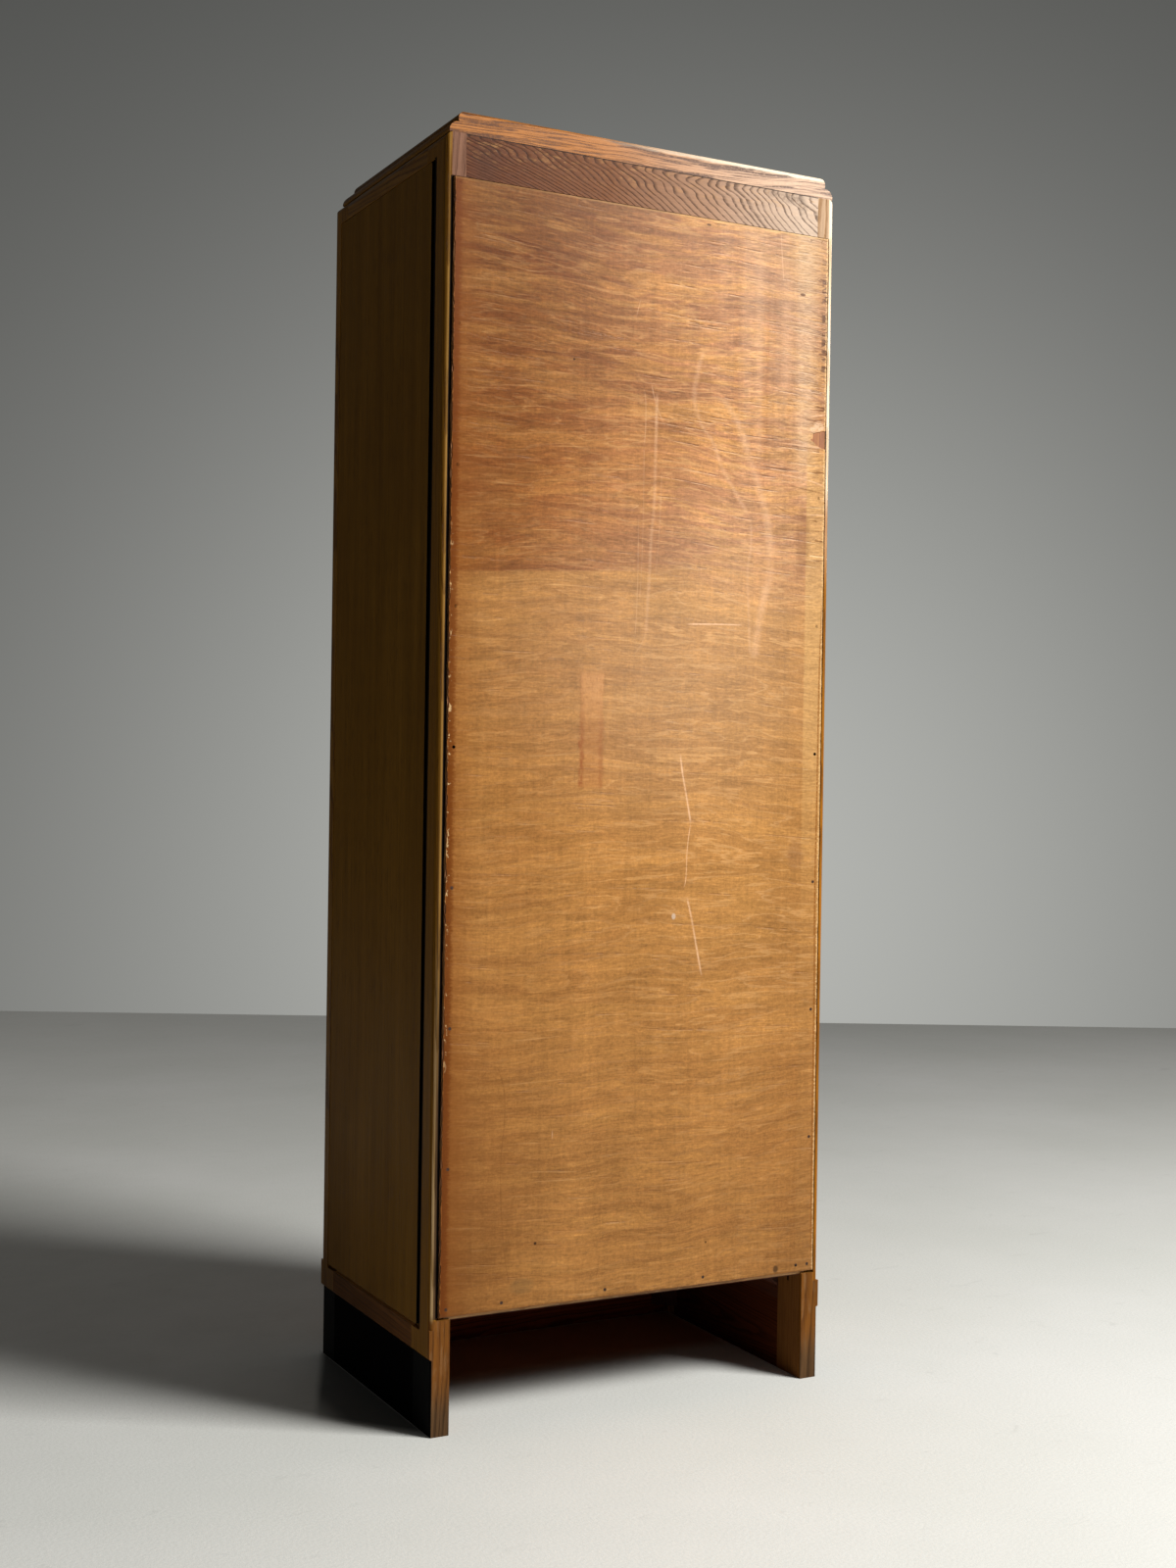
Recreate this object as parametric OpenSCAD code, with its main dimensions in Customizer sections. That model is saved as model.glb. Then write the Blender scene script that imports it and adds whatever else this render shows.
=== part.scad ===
// Tall oak bookcase: frame-and-panel sides on a black plinth, moulded top, plywood back
// and loose shelves that rest on battens in four toothed racks.
// Millimetres, +Z up, +X to the right seen from the open front, +Y to the back.
// The origin lies on the floor under the middle of the case.

/* [Case] */
// Width over the outer faces of the sides
case_w = 601; // [540:1:720]
// Depth over the stiles
case_d = 405; // [360:1:480]
// Height to the top of the top board
case_h = 1704; // [1540:1:1900]
// Thickness of the stiles and of the rails between them
stock_t = 28.5; // [27:0.5:34]
// Radius of the rounded outer upright edges
arris_r = 9; // [4:0.5:10]
// Height above the floor at which that rounding stops
arris_stop = 138; // [125:1:160]
// Radius of the rounded upper edges of the sides and of the front rail
top_arris_r = 11; // [4:0.5:13]

/* [Side frames] */
// Width of a front stile
front_stile_w = 50; // [46:1:64]
// Width of a rear stile
rear_stile_w = 60; // [56:1:75]
// Height of the upper side rail
side_top_rail_h = 52; // [46:1:80]
// Height of the lower side rail
side_bottom_rail_h = 70; // [60:1:90]
// Thickness of a tenon
tenon_t = 8.5; // [7:0.5:8.5]
// Wood between a panel's rebate and a tenon
tenon_cover = 4.5; // [3:0.5:4.5]
// Shoulder above and below a tenon
tenon_shoulder = 12; // [8:1:14]
// Length of the side rails' tenons in a front stile
front_tenon_l = 25; // [18:1:26]
// Length of the side rails' tenons in a rear stile
rear_tenon_l = 35; // [20:1:36]
// Length of the cross rails' tenons in the stiles
cross_tenon_l = 18; // [10:1:18]
// Glue room at the bottom of a mortise
mortise_room = 1; // [0.5:0.5:2]
// Gap on each cheek of a tenon
cheek_gap = 0.1; // [0.05:0.05:0.3]

/* [Side panels] */
// Thickness of a side panel
panel_t = 5; // [4:0.5:5.5]
// Depth of the rebate that a side panel lies in
panel_rebate_d = 5.5; // [5.5:0.5:8]
// Front face of the case to the rebate
panel_front_margin = 25; // [20:1:32]
// Rear face of the case to the rebate
panel_rear_margin = 35; // [28:1:44]
// Visible height of the lower rail under the rebate
panel_bottom_margin = 31; // [24:1:40]
// Visible height of the upper rail over the rebate
panel_top_margin = 27; // [20:1:34]
// Gap in front of a panel
panel_front_gap = 1; // [0.5:0.5:3]
// Shrinkage gap behind a panel
panel_rear_gap = 10; // [2:1:14]
// Gap under a panel
panel_bottom_gap = 5; // [1:1:8]
// Gap over a panel
panel_top_gap = 1; // [0.5:0.5:3]

/* [Plinth] */
// Height of the black plinth
plinth_h = 100; // [80:1:118]
// Set-back of the plinth from the outer faces of the sides
plinth_side_in = 3; // [1:0.5:5]
// Set-back of the plinth from the front faces of the stiles
plinth_front_in = 4; // [1:0.5:6]
// Thickness of the front plinth board
plinth_t = 25; // [20:1:30]
// Softening of the oak's lower edge over the plinth
shoulder_r = 3; // [1:0.5:5]

/* [Cross rails] */
// Thickness of the front and rear rails
cross_rail_t = 28.5; // [24:0.5:32]
// Height of the rail under the front of the top board
front_top_rail_h = 60; // [50:1:90]
// Height of the rail under the rear of the top board
rear_top_rail_h = 70; // [62:1:90]
// Height of the rail under the front of the bottom board
front_bottom_rail_h = 48; // [36:1:70]
// Set-back of the front rails from the front faces of the stiles
front_rail_in = 2; // [0:0.5:4]
// Face of a cross rail to its tenon
cross_tenon_in = 10; // [8:0.5:10]

/* [Boards] */
// Thickness of the bottom board
bottom_board_t = 22; // [18:1:28]
// Depth of the housing that holds each end of the bottom board
housing_d = 7; // [4:0.5:7]
// Set-back of the housing from the front faces of the stiles
housing_front_in = 15; // [12:1:24]
// Thickness of the shelves
shelf_t = 18; // [15:1:24]
// Radius of a board's softened front edges
nosing_r = 4; // [2:0.5:7]
// Thickness of the top board
top_board_t = 28; // [26:0.5:36]
// Side faces of the case to the widest part of the top board
top_side_in = 4.5; // [2:0.5:10]
// Front faces of the stiles to the front of the top board
top_front_in = 18; // [4:1:22]
// Radius of the top board's lower round
lower_bead_r = 12.5; // [8:0.5:13]
// Flat under the lower round
lower_bead_flat = 1.5; // [0.5:0.5:3]
// Depth of the groove between the two rounds, measured inwards
quirk_d = 2; // [1:0.5:4]
// Radius of the top board's upper round
upper_bead_r = 9.5; // [7:0.5:10]
// Radius of the top board's rear upper edge
top_rear_r = 3; // [1:0.5:6]

/* [Back] */
// Thickness of the plywood back
back_t = 5; // [4:0.5:5.5]
// Depth of the rebate that the back lies in
back_rebate_d = 5.5; // [5.5:0.5:8]
// Width of the lip outside that rebate
back_lip_w = 8.5; // [6:0.5:11]
// Height of the foot under the rebate
back_foot_h = 150; // [142:1:155]
// Height of the back's lower edge over the foot of the rebate
back_bottom_gap = 2; // [0.5:0.5:4]
// Visible height of the rear rail over the back
back_top_margin = 56; // [44:1:60]
// Gap over the back
back_top_gap = 0.5; // [0.5:0.5:3]
// Shrinkage gap beside the back at the right side
back_right_gap = 4; // [1:0.5:7]
// Gap beside the back at the left side
back_left_gap = 1; // [0.5:0.5:4]

/* [Racks and battens] */
// Thickness of a rack
rack_t = 12; // [10:0.5:16]
// Width of a rack
rack_w = 22; // [20:1:26]
// Front face of the case to a front rack
rack_front_in = 22.5; // [18:0.5:25]
// Front face of the plywood back to a rear rack
rack_rear_in = 7; // [5:0.5:9]
// Distance between the teeth
tooth_pitch = 32; // [28:1:40]
// Depth of a tooth
tooth_d = 9; // [7:0.5:10]
// Height of a tooth's upright inner wall
tooth_wall_h = 10; // [8:0.5:12]
// Foot of a rack to its first tooth
first_tooth = 38; // [30:1:60]
// Foot of the upper rails to the head of a rack
rack_head_gap = 6; // [2:1:20]
// Width of a batten
batten_w = 22; // [20:0.5:28]
// Height of a batten
batten_h = 18; // [15:0.5:18]
// Play at each end and over the tip of a batten
batten_play = 0.5; // [0.3:0.1:1]
// Gap between a shelf and the racks, front and back of the case
shelf_side_gap = 1.5; // [0.5:0.5:3]
// Set-back of the shelves from the front faces of the stiles
shelf_front_in = 10.5; // [5:0.5:30]
// Gap between a shelf and the plywood back
shelf_rear_gap = 3; // [1:0.5:10]

/* [Fixings] */
// Radius of a nail's head
nail_head_r = 2.2; // [1.5:0.1:3]
// Thickness of a nail's head
nail_head_t = 0.8; // [0.5:0.1:1.5]
// Radius of a nail's shank
nail_r = 0.9; // [0.6:0.05:1.2]
// Length of a nail under its head
nail_l = 13; // [10:0.5:14]
// Side edges of the back to the upright rows of nails
nail_edge_in = 10; // [7:0.5:12]
// Lower edge of the back to the lowest nails
nail_bottom_in = 11; // [7:0.5:14]
// Upper edge of the back to the highest nails
nail_top_in = 6; // [5:0.5:8]
// Right edge of the back to the first nail of the level rows
row_nail_right_in = 89; // [60:1:110]
// Left edge of the back to the last nail of the level rows
row_nail_left_in = 29; // [24:1:60]
// Radius of a rack screw's head
screw_head_r = 3.6; // [3:0.1:4.2]
// Depth of a rack screw's countersunk head
screw_head_h = 2.6; // [2:0.1:3]
// Radius of a rack screw's shank
screw_r = 1.75; // [1.25:0.05:2]
// Length of a rack screw
screw_l = 26; // [20:0.5:27]
// Ends of a rack to its outer screws
screw_end_in = 58; // [50:1:80]
// Leg of the three-cornered glue blocks
block_leg = 30; // [20:1:36]
// Length of a glue block
block_l = 70; // [40:1:72]

/* [Hidden] */
SHELVES = 4;
NAILS_UPRIGHT = 9;
NAILS_LEVEL = 4;
RACK_SCREWS = 5;
SIDES = ["left", "right"];
RANKS = ["front", "rear"];

$fn = 64;
cut = 1; // how far a cutter runs past the face that it opens
fit_gap = 0.05; // round nails and screws in their holes
housing_gap = 0.2; // end and front of the bottom board in its housing
slot_w = 0.8; // slot in a screw's head
slot_d = 1;

OAK = "#a8743f";
OAK_INSIDE = "#b98a55";
BLACK = "#1c1815";
PLY = "#c08a54";
STEEL = "#7a7672";
BRASS = "#a8874a";

outer_x = case_w / 2;
inner_x = outer_x - stock_t;
front_y = -case_d / 2;
rear_y = case_d / 2;
front_stile_y = front_y + front_stile_w;
rear_stile_y = rear_y - rear_stile_w;
side_top = case_h - top_board_t;
bottom_rail_top = plinth_h + side_bottom_rail_h;
top_rail_z = side_top - side_top_rail_h;
floor_z = plinth_h + front_bottom_rail_h;
floor_top = floor_z + bottom_board_t;
tenon_in = panel_rebate_d + tenon_cover;
front_rail_y = front_y + front_rail_in;
rear_rail_y = rear_y - cross_rail_t;
front_plinth_y = front_y + plinth_front_in;
back_face_y = rear_y - back_rebate_d; // where the plywood lies on the wood
back_right_x = outer_x - back_lip_w - back_right_gap;
back_left_x = -outer_x + back_lip_w + back_left_gap;
back_z = back_foot_h + back_bottom_gap;
back_rebate_top = side_top - back_top_margin + back_top_gap;
back_top = side_top - back_top_margin;
rack_x = inner_x - rack_t;
rack_top = side_top - max(front_top_rail_h, rear_top_rail_h) - rack_head_gap;
front_rack_y = front_y + rack_front_in;
rear_rack_y = back_face_y - rack_rear_in - rack_w;
front_tooth_y = front_rack_y + rack_w;
rear_tooth_y = rear_rack_y;
tooth_h = tooth_wall_h + tooth_d; // mouth of a tooth, under its 45 degree roof
teeth = floor((rack_top - floor_top - first_tooth - tooth_h) / tooth_pitch) + 1;
batten_tip_h = tooth_wall_h - batten_play;
shelf_w = 2 * (rack_x - shelf_side_gap);
shelf_front_y = front_y + shelf_front_in;
shelf_rear_y = back_face_y - shelf_rear_gap;
low_nail_z = back_z + nail_bottom_in;
top_nail_z = back_top - nail_top_in;
nail_z = [for (i = [0:NAILS_UPRIGHT - 1]) low_nail_z + i * (top_nail_z - low_nail_z) / (NAILS_UPRIGHT - 1)];
nail_x = [for (i = [0:NAILS_LEVEL - 1])
    let (right = back_right_x - row_nail_right_in, left = back_left_x + row_nail_left_in)
    right + i * (left - right) / (NAILS_LEVEL - 1)];
screw_z = [for (i = [0:RACK_SCREWS - 1])
    floor_top + screw_end_in + i * (rack_top - floor_top - 2 * screw_end_in) / (RACK_SCREWS - 1)];

// Height of tooth number i, counted from 0 at the foot of the rack
function tooth_z(i) = floor_top + first_tooth + i * tooth_pitch;
// Tooth that carries shelf number i, counted from 1 at the bottom
function shelf_tooth(i) = round(i * (teeth + 1) / (SHELVES + 1)) - 1;
function shelf_z(i) = tooth_z(shelf_tooth(i)) + batten_h;

// Box between two opposite corners
module block(lo, hi) {
    translate(lo) cube(hi - lo);
}

// Prism of an X-Z outline
module along_y(y0, y1) {
    translate([0, y1, 0]) rotate([90, 0, 0]) linear_extrude(y1 - y0) children();
}

// Prism of a Y-Z outline
module along_x(x0, x1) {
    translate([x0, 0, 0]) rotate([90, 0, 90]) linear_extrude(x1 - x0) children();
}

// Everything that is drawn for the right side, or its mirror image at the left
module at_side(side) {
    if (side == "right") children();
    else mirror([1, 0, 0]) children();
}

// What a rounded corner loses, with the wood in the positive quadrant
module corner_loss(r) {
    difference() {
        translate([-cut, -cut]) square(r + cut);
        translate([r, r]) circle(r);
    }
}

// X-Z outline of a side: rounded at the top, stepped in over the plinth
module side_outline() {
    difference() {
        translate([inner_x, 0]) square([stock_t, side_top]);
        translate([outer_x, side_top]) rotate(180) corner_loss(top_arris_r);
        translate([outer_x - plinth_side_in, -cut]) square([plinth_side_in + cut, plinth_h + cut]);
        translate([outer_x, plinth_h]) rotate(90) corner_loss(shoulder_r);
    }
}

// Y-Z outline of a front stile: rounded at the top, stepped in over the plinth
module front_outline() {
    difference() {
        translate([front_y, 0]) square([front_stile_w, side_top]);
        translate([front_y, side_top]) rotate(-90) corner_loss(top_arris_r);
        translate([front_y - cut, -cut]) square([plinth_front_in + cut, plinth_h + cut]);
        translate([front_y, plinth_h]) corner_loss(shoulder_r);
    }
}

module panel_rebate() {
    block([outer_x - panel_rebate_d, front_y + panel_front_margin, plinth_h + panel_bottom_margin],
          [outer_x + cut, rear_y - panel_rear_margin, side_top - panel_top_margin]);
}

module back_rebate() {
    block([-outer_x + back_lip_w, back_face_y, back_foot_h],
          [outer_x - back_lip_w, rear_y + cut, back_rebate_top]);
}

// Housing for the bottom board, open towards the back rebate
module housing() {
    block([inner_x - cut, front_y + housing_front_in - housing_gap, floor_z],
          [inner_x + housing_d + housing_gap, back_face_y, floor_top]);
}

// Tenons of one side rail, or with room the mortises for them
module side_tenons(z0, z1, room = 0, gap = 0) {
    block([outer_x - tenon_in - tenon_t - gap, front_stile_y - front_tenon_l - room, z0 + tenon_shoulder - gap],
          [outer_x - tenon_in + gap, rear_stile_y + rear_tenon_l + room, z1 - tenon_shoulder + gap]);
}

// Tenons of one cross rail, or with room the mortises for them
module cross_tenons(face_y, z0, z1, room = 0, gap = 0) {
    x = inner_x + cross_tenon_l + room;
    block([-x, face_y + cross_tenon_in - gap, z0 + tenon_shoulder - gap],
          [x, face_y + cross_tenon_in + tenon_t + gap, z1 - tenon_shoulder + gap]);
}

module side_mortises() {
    side_tenons(0, plinth_h, mortise_room, cheek_gap);
    side_tenons(plinth_h, bottom_rail_top, mortise_room, cheek_gap);
    side_tenons(top_rail_z, side_top, mortise_room, cheek_gap);
}

module front_stile(side) {
    color(OAK) at_side(side) difference() {
        intersection() {
            along_y(front_y, front_stile_y) side_outline();
            along_x(inner_x, outer_x) front_outline();
        }
        translate([outer_x, front_y, arris_stop]) rotate(90) linear_extrude(case_h) corner_loss(arris_r);
        panel_rebate();
        housing();
        side_mortises();
        cross_tenons(front_plinth_y, 0, plinth_h, mortise_room, cheek_gap);
        cross_tenons(front_rail_y, plinth_h, floor_z, mortise_room, cheek_gap);
        cross_tenons(front_rail_y, side_top - front_top_rail_h, side_top, mortise_room, cheek_gap);
        rack_screw_set("front", fit_gap);
    }
}

module rear_stile(side) {
    color(OAK) difference() {
        at_side(side) difference() {
            along_y(rear_stile_y, rear_y) side_outline();
            translate([outer_x, rear_y, arris_stop]) rotate(180) linear_extrude(case_h) corner_loss(arris_r);
            panel_rebate();
            back_rebate();
            housing();
            side_mortises();
            cross_tenons(rear_rail_y, side_top - rear_top_rail_h, side_top, mortise_room, cheek_gap);
            rack_screw_set("rear", fit_gap);
        }
        nail_set(fit_gap);
    }
}

// Rail between the two stiles of a side, with its tenons
module side_rail(side, z0, z1) {
    at_side(side) difference() {
        union() {
            intersection() {
                along_y(front_stile_y, rear_stile_y) side_outline();
                block([0, front_y, z0], [case_w, rear_y, z1]);
            }
            side_tenons(z0, z1);
        }
        panel_rebate();
        block([inner_x - cut, front_stile_y - cut, floor_z],
              [inner_x + housing_d + housing_gap, rear_stile_y + cut, floor_top]);
    }
}

module top_rail(side) {
    color(OAK) side_rail(side, top_rail_z, side_top);
}

module bottom_rail(side) {
    color(OAK) side_rail(side, plinth_h, bottom_rail_top);
}

module plinth_rail(side) {
    color(BLACK) side_rail(side, 0, plinth_h);
}

module panel(side) {
    color(PLY) at_side(side)
        block([outer_x - panel_rebate_d,
               front_y + panel_front_margin + panel_front_gap,
               plinth_h + panel_bottom_margin + panel_bottom_gap],
              [outer_x - panel_rebate_d + panel_t,
               rear_y - panel_rear_margin - panel_rear_gap,
               side_top - panel_top_margin - panel_top_gap]);
}

// Rail between the two sides, with its tenons
module cross_rail(face_y, z0, z1, t) {
    block([-inner_x, face_y, z0], [inner_x, face_y + t, z1]);
    cross_tenons(face_y, z0, z1);
}

module front_top_rail() {
    color(OAK) difference() {
        cross_rail(front_rail_y, side_top - front_top_rail_h, side_top, cross_rail_t);
        along_x(-case_w, case_w) translate([front_rail_y, side_top]) rotate(-90) corner_loss(top_arris_r - front_rail_in);
    }
}

module rear_top_rail() {
    color(OAK_INSIDE) difference() {
        cross_rail(rear_rail_y, side_top - rear_top_rail_h, side_top, cross_rail_t);
        back_rebate();
        nail_set(fit_gap);
    }
}

module front_bottom_rail() {
    color(OAK) cross_rail(front_rail_y, plinth_h, floor_z, cross_rail_t);
}

module front_plinth() {
    color(BLACK) cross_rail(front_plinth_y, 0, plinth_h, plinth_t);
}

// Y-Z outline of a board with softened front edges
module board_outline(y0, y1, z0, t) {
    difference() {
        translate([y0, z0]) square([y1 - y0, t]);
        translate([y0, z0]) corner_loss(nosing_r);
        translate([y0, z0 + t]) rotate(-90) corner_loss(nosing_r);
    }
}

module bottom_board() {
    x = inner_x + housing_d;
    color(OAK_INSIDE) difference() {
        along_x(-x, x) board_outline(front_rail_y, back_face_y, floor_z, bottom_board_t);
        for (s = SIDES) at_side(s)
            block([inner_x - housing_gap, front_y, floor_z - cut],
                  [x + cut, front_y + housing_front_in, floor_top + cut]);
        nail_set(fit_gap);
    }
}

// Moulded edge in section: two rounds, the upper one set back over a small groove
module moulded_edge(w) {
    step_z = lower_bead_flat + lower_bead_r;
    bead_z = top_board_t - upper_bead_r;
    translate([lower_bead_r, 0]) square([w - lower_bead_r, step_z]);
    square([w, lower_bead_flat]);
    intersection() {
        translate([lower_bead_r, lower_bead_flat]) circle(lower_bead_r);
        square([w, step_z]);
    }
    translate([lower_bead_r + quirk_d, 0]) square([w - lower_bead_r - quirk_d, bead_z]);
    intersection() {
        translate([lower_bead_r + upper_bead_r, bead_z]) circle(upper_bead_r);
        translate([0, step_z]) square([w, top_board_t - step_z]);
    }
    translate([lower_bead_r + upper_bead_r, 0]) square([w - lower_bead_r - upper_bead_r, top_board_t]);
}

module top_board() {
    half = outer_x - top_side_in;
    deep = case_d - top_front_in;
    color(OAK) translate([0, 0, side_top]) intersection() {
        along_y(front_y, rear_y) union() {
            translate([-half, 0]) moulded_edge(half);
            translate([half, 0]) mirror([1, 0]) moulded_edge(half);
        }
        along_x(-half, half) difference() {
            translate([rear_y - deep, 0]) moulded_edge(deep);
            translate([rear_y, top_board_t]) rotate(180) corner_loss(top_rear_r);
        }
    }
}

module back_panel() {
    color(PLY) difference() {
        block([back_left_x, back_face_y, back_z], [back_right_x, back_face_y + back_t, back_top]);
        nail_set(fit_gap);
    }
}

// One nail, or its hole: the head lies flush in the plywood
module nail(x, z, gap = 0) {
    translate([x, back_face_y + back_t, z]) rotate([90, 0, 0]) {
        cylinder(r = nail_head_r + gap, h = nail_head_t);
        cylinder(r = nail_r + gap, h = nail_head_t + nail_l + gap);
    }
}

module nail_set(gap = 0) {
    for (z = nail_z) {
        nail(back_right_x - nail_edge_in, z, gap);
        nail(back_left_x + nail_edge_in, z, gap);
    }
    for (x = nail_x) {
        nail(x, low_nail_z, gap);
        nail(x, top_nail_z, gap);
    }
}

module back_nails() {
    color(STEEL) nail_set();
}

// Y-Z outline of a rack with its teeth towards +Y
module rack_outline() {
    face = rack_w;
    polygon(concat(
        [[0, floor_top], [face, floor_top]],
        [for (i = [0:teeth - 1]) let (z = tooth_z(i)) each [
            [face, z],
            [face - tooth_d, z],
            [face - tooth_d, z + tooth_wall_h],
            [face, z + tooth_h]]],
        [[face, rack_top], [0, rack_top]]));
}

module rack(side, rank) {
    color(OAK_INSIDE) at_side(side) difference() {
        along_x(rack_x, inner_x)
            if (rank == "front") translate([front_rack_y, 0]) rack_outline();
            else translate([rear_rack_y + rack_w, 0]) mirror([1, 0]) rack_outline();
        rack_screw_set(rank, fit_gap);
    }
}

// One countersunk screw through a rack into its stile, or its hole
module rack_screw(y, z, gap = 0) {
    translate([rack_x, y, z]) rotate([0, 90, 0]) {
        cylinder(r1 = screw_head_r + gap, r2 = screw_r + gap, h = screw_head_h);
        cylinder(r = screw_r + gap, h = screw_l + gap);
    }
}

// The screws of one rack at the right side
module rack_screw_set(rank, gap = 0) {
    web = (rack_w - tooth_d) / 2;
    y = rank == "front" ? front_rack_y + web : rear_rack_y + rack_w - web;
    for (z = screw_z) rack_screw(y, z, gap);
}

module rack_screws() {
    color(BRASS) for (s = SIDES) at_side(s) difference() {
        for (r = RANKS) rack_screw_set(r);
        for (z = screw_z)
            block([rack_x - cut, front_y, z - slot_w / 2], [rack_x + slot_d, rear_y, z + slot_w / 2]);
    }
}

// Batten number i with its two bevelled ends in the teeth
module batten(side, i) {
    z = tooth_z(shelf_tooth(i));
    tip = tooth_d - batten_play;
    y0 = front_tooth_y - tip;
    y1 = rear_tooth_y + tip;
    bevel = batten_h - batten_tip_h;
    color(OAK_INSIDE) at_side(side) along_x(inner_x - batten_w, inner_x)
        polygon([[y0, z], [y1, z], [y1, z + batten_tip_h], [y1 - bevel, z + batten_h],
                 [y0 + bevel, z + batten_h], [y0, z + batten_tip_h]]);
}

module shelf(i) {
    color(OAK_INSIDE) along_x(-shelf_w / 2, shelf_w / 2)
        board_outline(shelf_front_y, shelf_rear_y, shelf_z(i), shelf_t);
}

// Three-cornered glue block along Y, its square corner at the origin towards +X and +Z
module glue_block() {
    along_y(-block_l / 2, block_l / 2) polygon([[0, 0], [-block_leg, 0], [0, -block_leg]]);
}

// Blocks between the upper rails and the underside of the top board
module top_glue_blocks() {
    color(OAK_INSIDE) translate([0, 0, side_top]) {
        for (s = SIDES) at_side(s) {
            translate([inner_x, (front_stile_y + rear_stile_y) / 2, 0]) glue_block();
            translate([inner_x / 2, front_rail_y + cross_rail_t, 0]) rotate(-90) glue_block();
            translate([inner_x / 2, rear_rail_y, 0]) rotate(90) glue_block();
        }
    }
}

// Blocks under the bottom board along the lower side rails
module floor_glue_blocks() {
    color(OAK_INSIDE) for (s = SIDES) at_side(s)
        for (y = [front_stile_y + block_l / 2, rear_stile_y - block_l / 2])
            translate([inner_x, y, floor_z]) glue_block();
}

// Upright blocks in the corners between the front plinth and the front stiles
module plinth_glue_blocks() {
    y = front_plinth_y + plinth_t;
    color(OAK_INSIDE) for (s = SIDES) at_side(s)
        translate([inner_x, y, (plinth_h - block_l) / 2]) linear_extrude(block_l)
            polygon([[0, 0], [-block_leg, 0], [0, block_leg]]);
}

for (s = SIDES) {
    front_stile(s);
    rear_stile(s);
    top_rail(s);
    bottom_rail(s);
    plinth_rail(s);
    panel(s);
    for (r = RANKS) rack(s, r);
    for (i = [1:SHELVES]) batten(s, i);
}
front_top_rail();
rear_top_rail();
front_bottom_rail();
front_plinth();
bottom_board();
top_board();
back_panel();
back_nails();
rack_screws();
for (i = [1:SHELVES]) shelf(i);
top_glue_blocks();
floor_glue_blocks();
plinth_glue_blocks();
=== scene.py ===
import math
from types import SimpleNamespace

import bpy
from mathutils import Matrix, Vector


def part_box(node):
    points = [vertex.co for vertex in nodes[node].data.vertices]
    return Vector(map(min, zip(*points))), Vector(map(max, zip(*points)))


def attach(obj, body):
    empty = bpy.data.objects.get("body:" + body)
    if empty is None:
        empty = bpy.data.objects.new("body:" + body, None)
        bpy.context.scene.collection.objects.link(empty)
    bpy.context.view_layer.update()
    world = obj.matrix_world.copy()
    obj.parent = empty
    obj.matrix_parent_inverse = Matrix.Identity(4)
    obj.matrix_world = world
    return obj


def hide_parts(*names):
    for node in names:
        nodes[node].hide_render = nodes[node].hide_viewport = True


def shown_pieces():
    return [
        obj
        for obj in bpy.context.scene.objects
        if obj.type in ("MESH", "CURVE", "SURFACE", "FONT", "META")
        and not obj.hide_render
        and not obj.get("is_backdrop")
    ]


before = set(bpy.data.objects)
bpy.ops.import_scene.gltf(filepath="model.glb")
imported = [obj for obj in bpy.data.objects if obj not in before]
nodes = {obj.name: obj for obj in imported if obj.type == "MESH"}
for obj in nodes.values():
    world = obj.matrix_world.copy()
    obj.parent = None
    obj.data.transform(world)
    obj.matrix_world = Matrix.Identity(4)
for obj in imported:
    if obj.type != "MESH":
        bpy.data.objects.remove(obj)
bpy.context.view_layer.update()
mm = 0.001
bpy.ops.object.select_all(action="DESELECT")
print("frame:", len(nodes), "nodes")

# Faces and heights of the case, read from the frame
innerX, outerX = (corner.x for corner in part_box("right_front_stile"))
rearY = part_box("right_rear_stile")[1].y
backLow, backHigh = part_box("back_panel")
panelLow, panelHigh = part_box("right_panel")
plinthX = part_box("right_plinth_rail")[1].x
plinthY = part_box("front_plinth")[0].y
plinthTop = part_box("front_plinth")[1].z
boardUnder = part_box("bottom_board")[0].z

# Camera, behind the case and towards its right side
shot = {
    "place": (1.2763, 2.4726, 0.8629),
    "turn": 152.26,  # degrees from looking along +Y
    "tilt": -0.45,
    "roll": 0.84,
    "lens": 44.18,  # mm, on the 36 mm long side
}


def aimCamera():
    turn = Matrix.Rotation(math.radians(shot["turn"]), 3, "Z")
    tilt = Matrix.Rotation(math.radians(90 + shot["tilt"]), 3, "X")
    roll = Matrix.Rotation(math.radians(shot["roll"]), 3, "Z")
    eye = bpy.data.objects.new("camera", bpy.data.cameras.new("camera"))
    bpy.context.scene.collection.objects.link(eye)
    eye.data.lens = shot["lens"]
    eye.data.clip_end = 60
    eye.location = shot["place"]
    eye.rotation_euler = (turn @ tilt @ roll).to_euler()
    bpy.context.scene.camera = eye
    return turn


cameraTurn = aimCamera()
bpy.context.scene.view_settings.view_transform = "Standard"


# A value that runs through a material. Sums and products of such values make Math nodes

class Flow:
    def __init__(self, socket):
        self.socket = socket
        self.tree = socket.id_data

    def __add__(self, other):
        return calc("ADD", self, other)

    def __sub__(self, other):
        return calc("SUBTRACT", self, other)

    def __rsub__(self, other):
        return calc("SUBTRACT", other, self)

    def __mul__(self, other):
        return calc("MULTIPLY", self, other)

    def __truediv__(self, other):
        return calc("DIVIDE", self, other)

    def __abs__(self):
        return calc("ABSOLUTE", self)


def put(tree, kind, sockets=None, **settings):
    made = tree.nodes.new("ShaderNode" + kind)
    for key, value in settings.items():
        setattr(made, key, value)
    for key, value in (sockets or {}).items():
        if isinstance(value, Flow):
            tree.links.new(value.socket, made.inputs[key])
        else:
            made.inputs[key].default_value = value
    return made


def flow(kind, sockets, output=0, **settings):
    # a node in the tree that its values come from, and one of its outputs
    tree = next(value.tree for value in sockets.values() if isinstance(value, Flow))
    return Flow(put(tree, kind, sockets, **settings).outputs[output])


def calc(job, *values, clamp=False):
    return flow("Math", dict(enumerate(values)), operation=job, use_clamp=clamp)


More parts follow.
